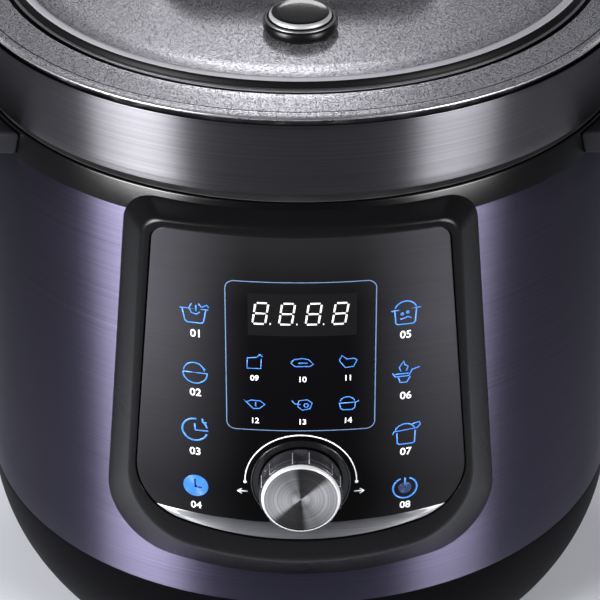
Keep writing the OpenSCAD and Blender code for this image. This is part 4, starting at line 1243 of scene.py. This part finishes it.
# ----------------------------------------------------------
# Under the lid: the steel inner lid with its lugs, the brass vent pipe with its strainer, the weight that
# closes it, the red float, and the rocker that lifts the weight when the button goes down.
# ----------------------------------------------------------
inner_steel = brushed("inner_steel", linear(168, 168, 172), linear(208, 208, 212), 0.28, 0.12, 0.2,
                      (14.0, 14.0, 700.0), 0.4)
valve_brass = zinc("valve_brass", linear(190, 168, 112), 0.28)
float_red = plastic("float_red", linear(176, 34, 28), 0.38, 0.15)
paint("inner_lid", inner_steel)
paint("valve_pipe", valve_brass)
paint("anti_block_cap", inner_steel)
paint("release_rocker", inner_steel)
paint("rocker_pin", screw_zinc)
weight = softened("valve_weight", "fluted_valve_weight", 0.7)
paint(weight, gloss_black)
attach(weight, "weight")
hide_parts("valve_weight")
float_pin = turned("red_float_pin", [
    (0, 246.4), (5.6, 246.4), (6, 246.8), (6, 248.4), (5.6, 248.8), (3.5, 248.8), (3.5, 299.7),
    (3.3, 300.2), (2.8, 300.6), (0, 300.6)], steps=48, axis_at=(40, 52))
paint(float_pin, float_red)
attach(float_pin, "float")
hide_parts("float_valve")


# ----------------------------------------------------------
# Pots and gasket: the pressed aluminium outer pot with its bayonet teeth, the cast hot plate, the brushed
# steel lift-out pot, and the silicone ring that seals its rim.
# ----------------------------------------------------------
pot_aluminium = zinc("pot_aluminium", linear(176, 176, 178), 0.42)
cast_plate = zinc("cast_plate", linear(150, 150, 151), 0.5)
paint("outer_pot", pot_aluminium)
paint("heating_plate", cast_plate)
paint("thermal_probe", chrome)
paint("probe_bracket", screw_zinc)
paint("probe_spring", spring_steel)
pot_steel = brushed("inner_pot_steel", linear(176, 176, 180), linear(214, 214, 218), 0.25, 0.14, 0.3,
                    (10.0, 10.0, 900.0), 0.6)
pot_profile = [(0, 74), (90, 74)] + arc((90, 96), 22, -88, 0, 12)
pot_profile += [(112, 150), (112, 200), (112, 241.4), (112.3, 242), (117.6, 242), (118.2, 242.2),
                (118.5, 242.9), (118.4, 243.6), (117.9, 244), (112.6, 244), (110.8, 243.7), (110, 242.6),
                (110, 200), (110, 150)]
pot_profile += arc((90, 96), 20, 0, -90, 12) + [(60, 76), (30, 76), (0, 76)]
pot_wall = turned("brushed_inner_pot", pot_profile, steps=200)
paint(pot_wall, pot_steel)
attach(pot_wall, "cooking_pot")
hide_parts("inner_pot")
silicone = plastic("silicone", linear(214, 213, 206), 0.55, 0.3)
paint("sealing_ring", silicone)


# ----------------------------------------------------------
# Condensate cup: a clear cup that catches the lid's drips. It slides on two rails of a black hanger at
# the back of the body.
# ----------------------------------------------------------
hanger = softened("cup_hanger", "cup_hanger_rails", 0.6)
paint(hanger, handle_plastic)
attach(hanger, "housing")
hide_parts("cup_hanger")
cup_clear, tree, shader = new_material("cup_clear", {
    "Base Color": linear(236, 240, 243), "Transmission Weight": 0.9, "IOR": 1.49})
place = object_place(tree)
marks = node_of(tree, "TexNoise", {"Scale": 120.0, "Detail": 3.0}, Vector=place)
marks_range = node_of(tree, "MapRange", {"To Min": 0.06, "To Max": 0.2}, Value=marks)
feed(shader, Roughness=marks_range)
cup = softened("condensate_cup", "clear_condensate_cup", 0.45)
paint(cup, cup_clear)
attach(cup, "cup")
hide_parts("condensate_cup")


# ----------------------------------------------------------
# Inside the body: the control board with its display, encoder and cable behind the panel, the heater with
# its switch and fuse, the power board on the base plate, and the mains inlet in the base's back.
# ----------------------------------------------------------
board_green = plastic("board_green", linear(24, 84, 50), 0.35, 0.2)
display_white = plastic("display_plastic", linear(208, 208, 206), 0.45, 0.15)
cable_pvc = plastic("cable_pvc", linear(190, 190, 186), 0.45, 0.3)
inlet_black = plastic("inlet_black", linear(18, 18, 19), 0.5, 0.4)
for node in ("control_board", "power_board"):
    paint(node, board_green)
for node in ("display_module", "pressure_switch", "thermal_fuse"):
    paint(node, display_white)
paint("board_cable", cable_pvc)
paint("power_inlet", inlet_black)
paint("heating_element", cast_plate)
paint("rotary_encoder", shaft_metal)
paint("panel_screws", screw_zinc)
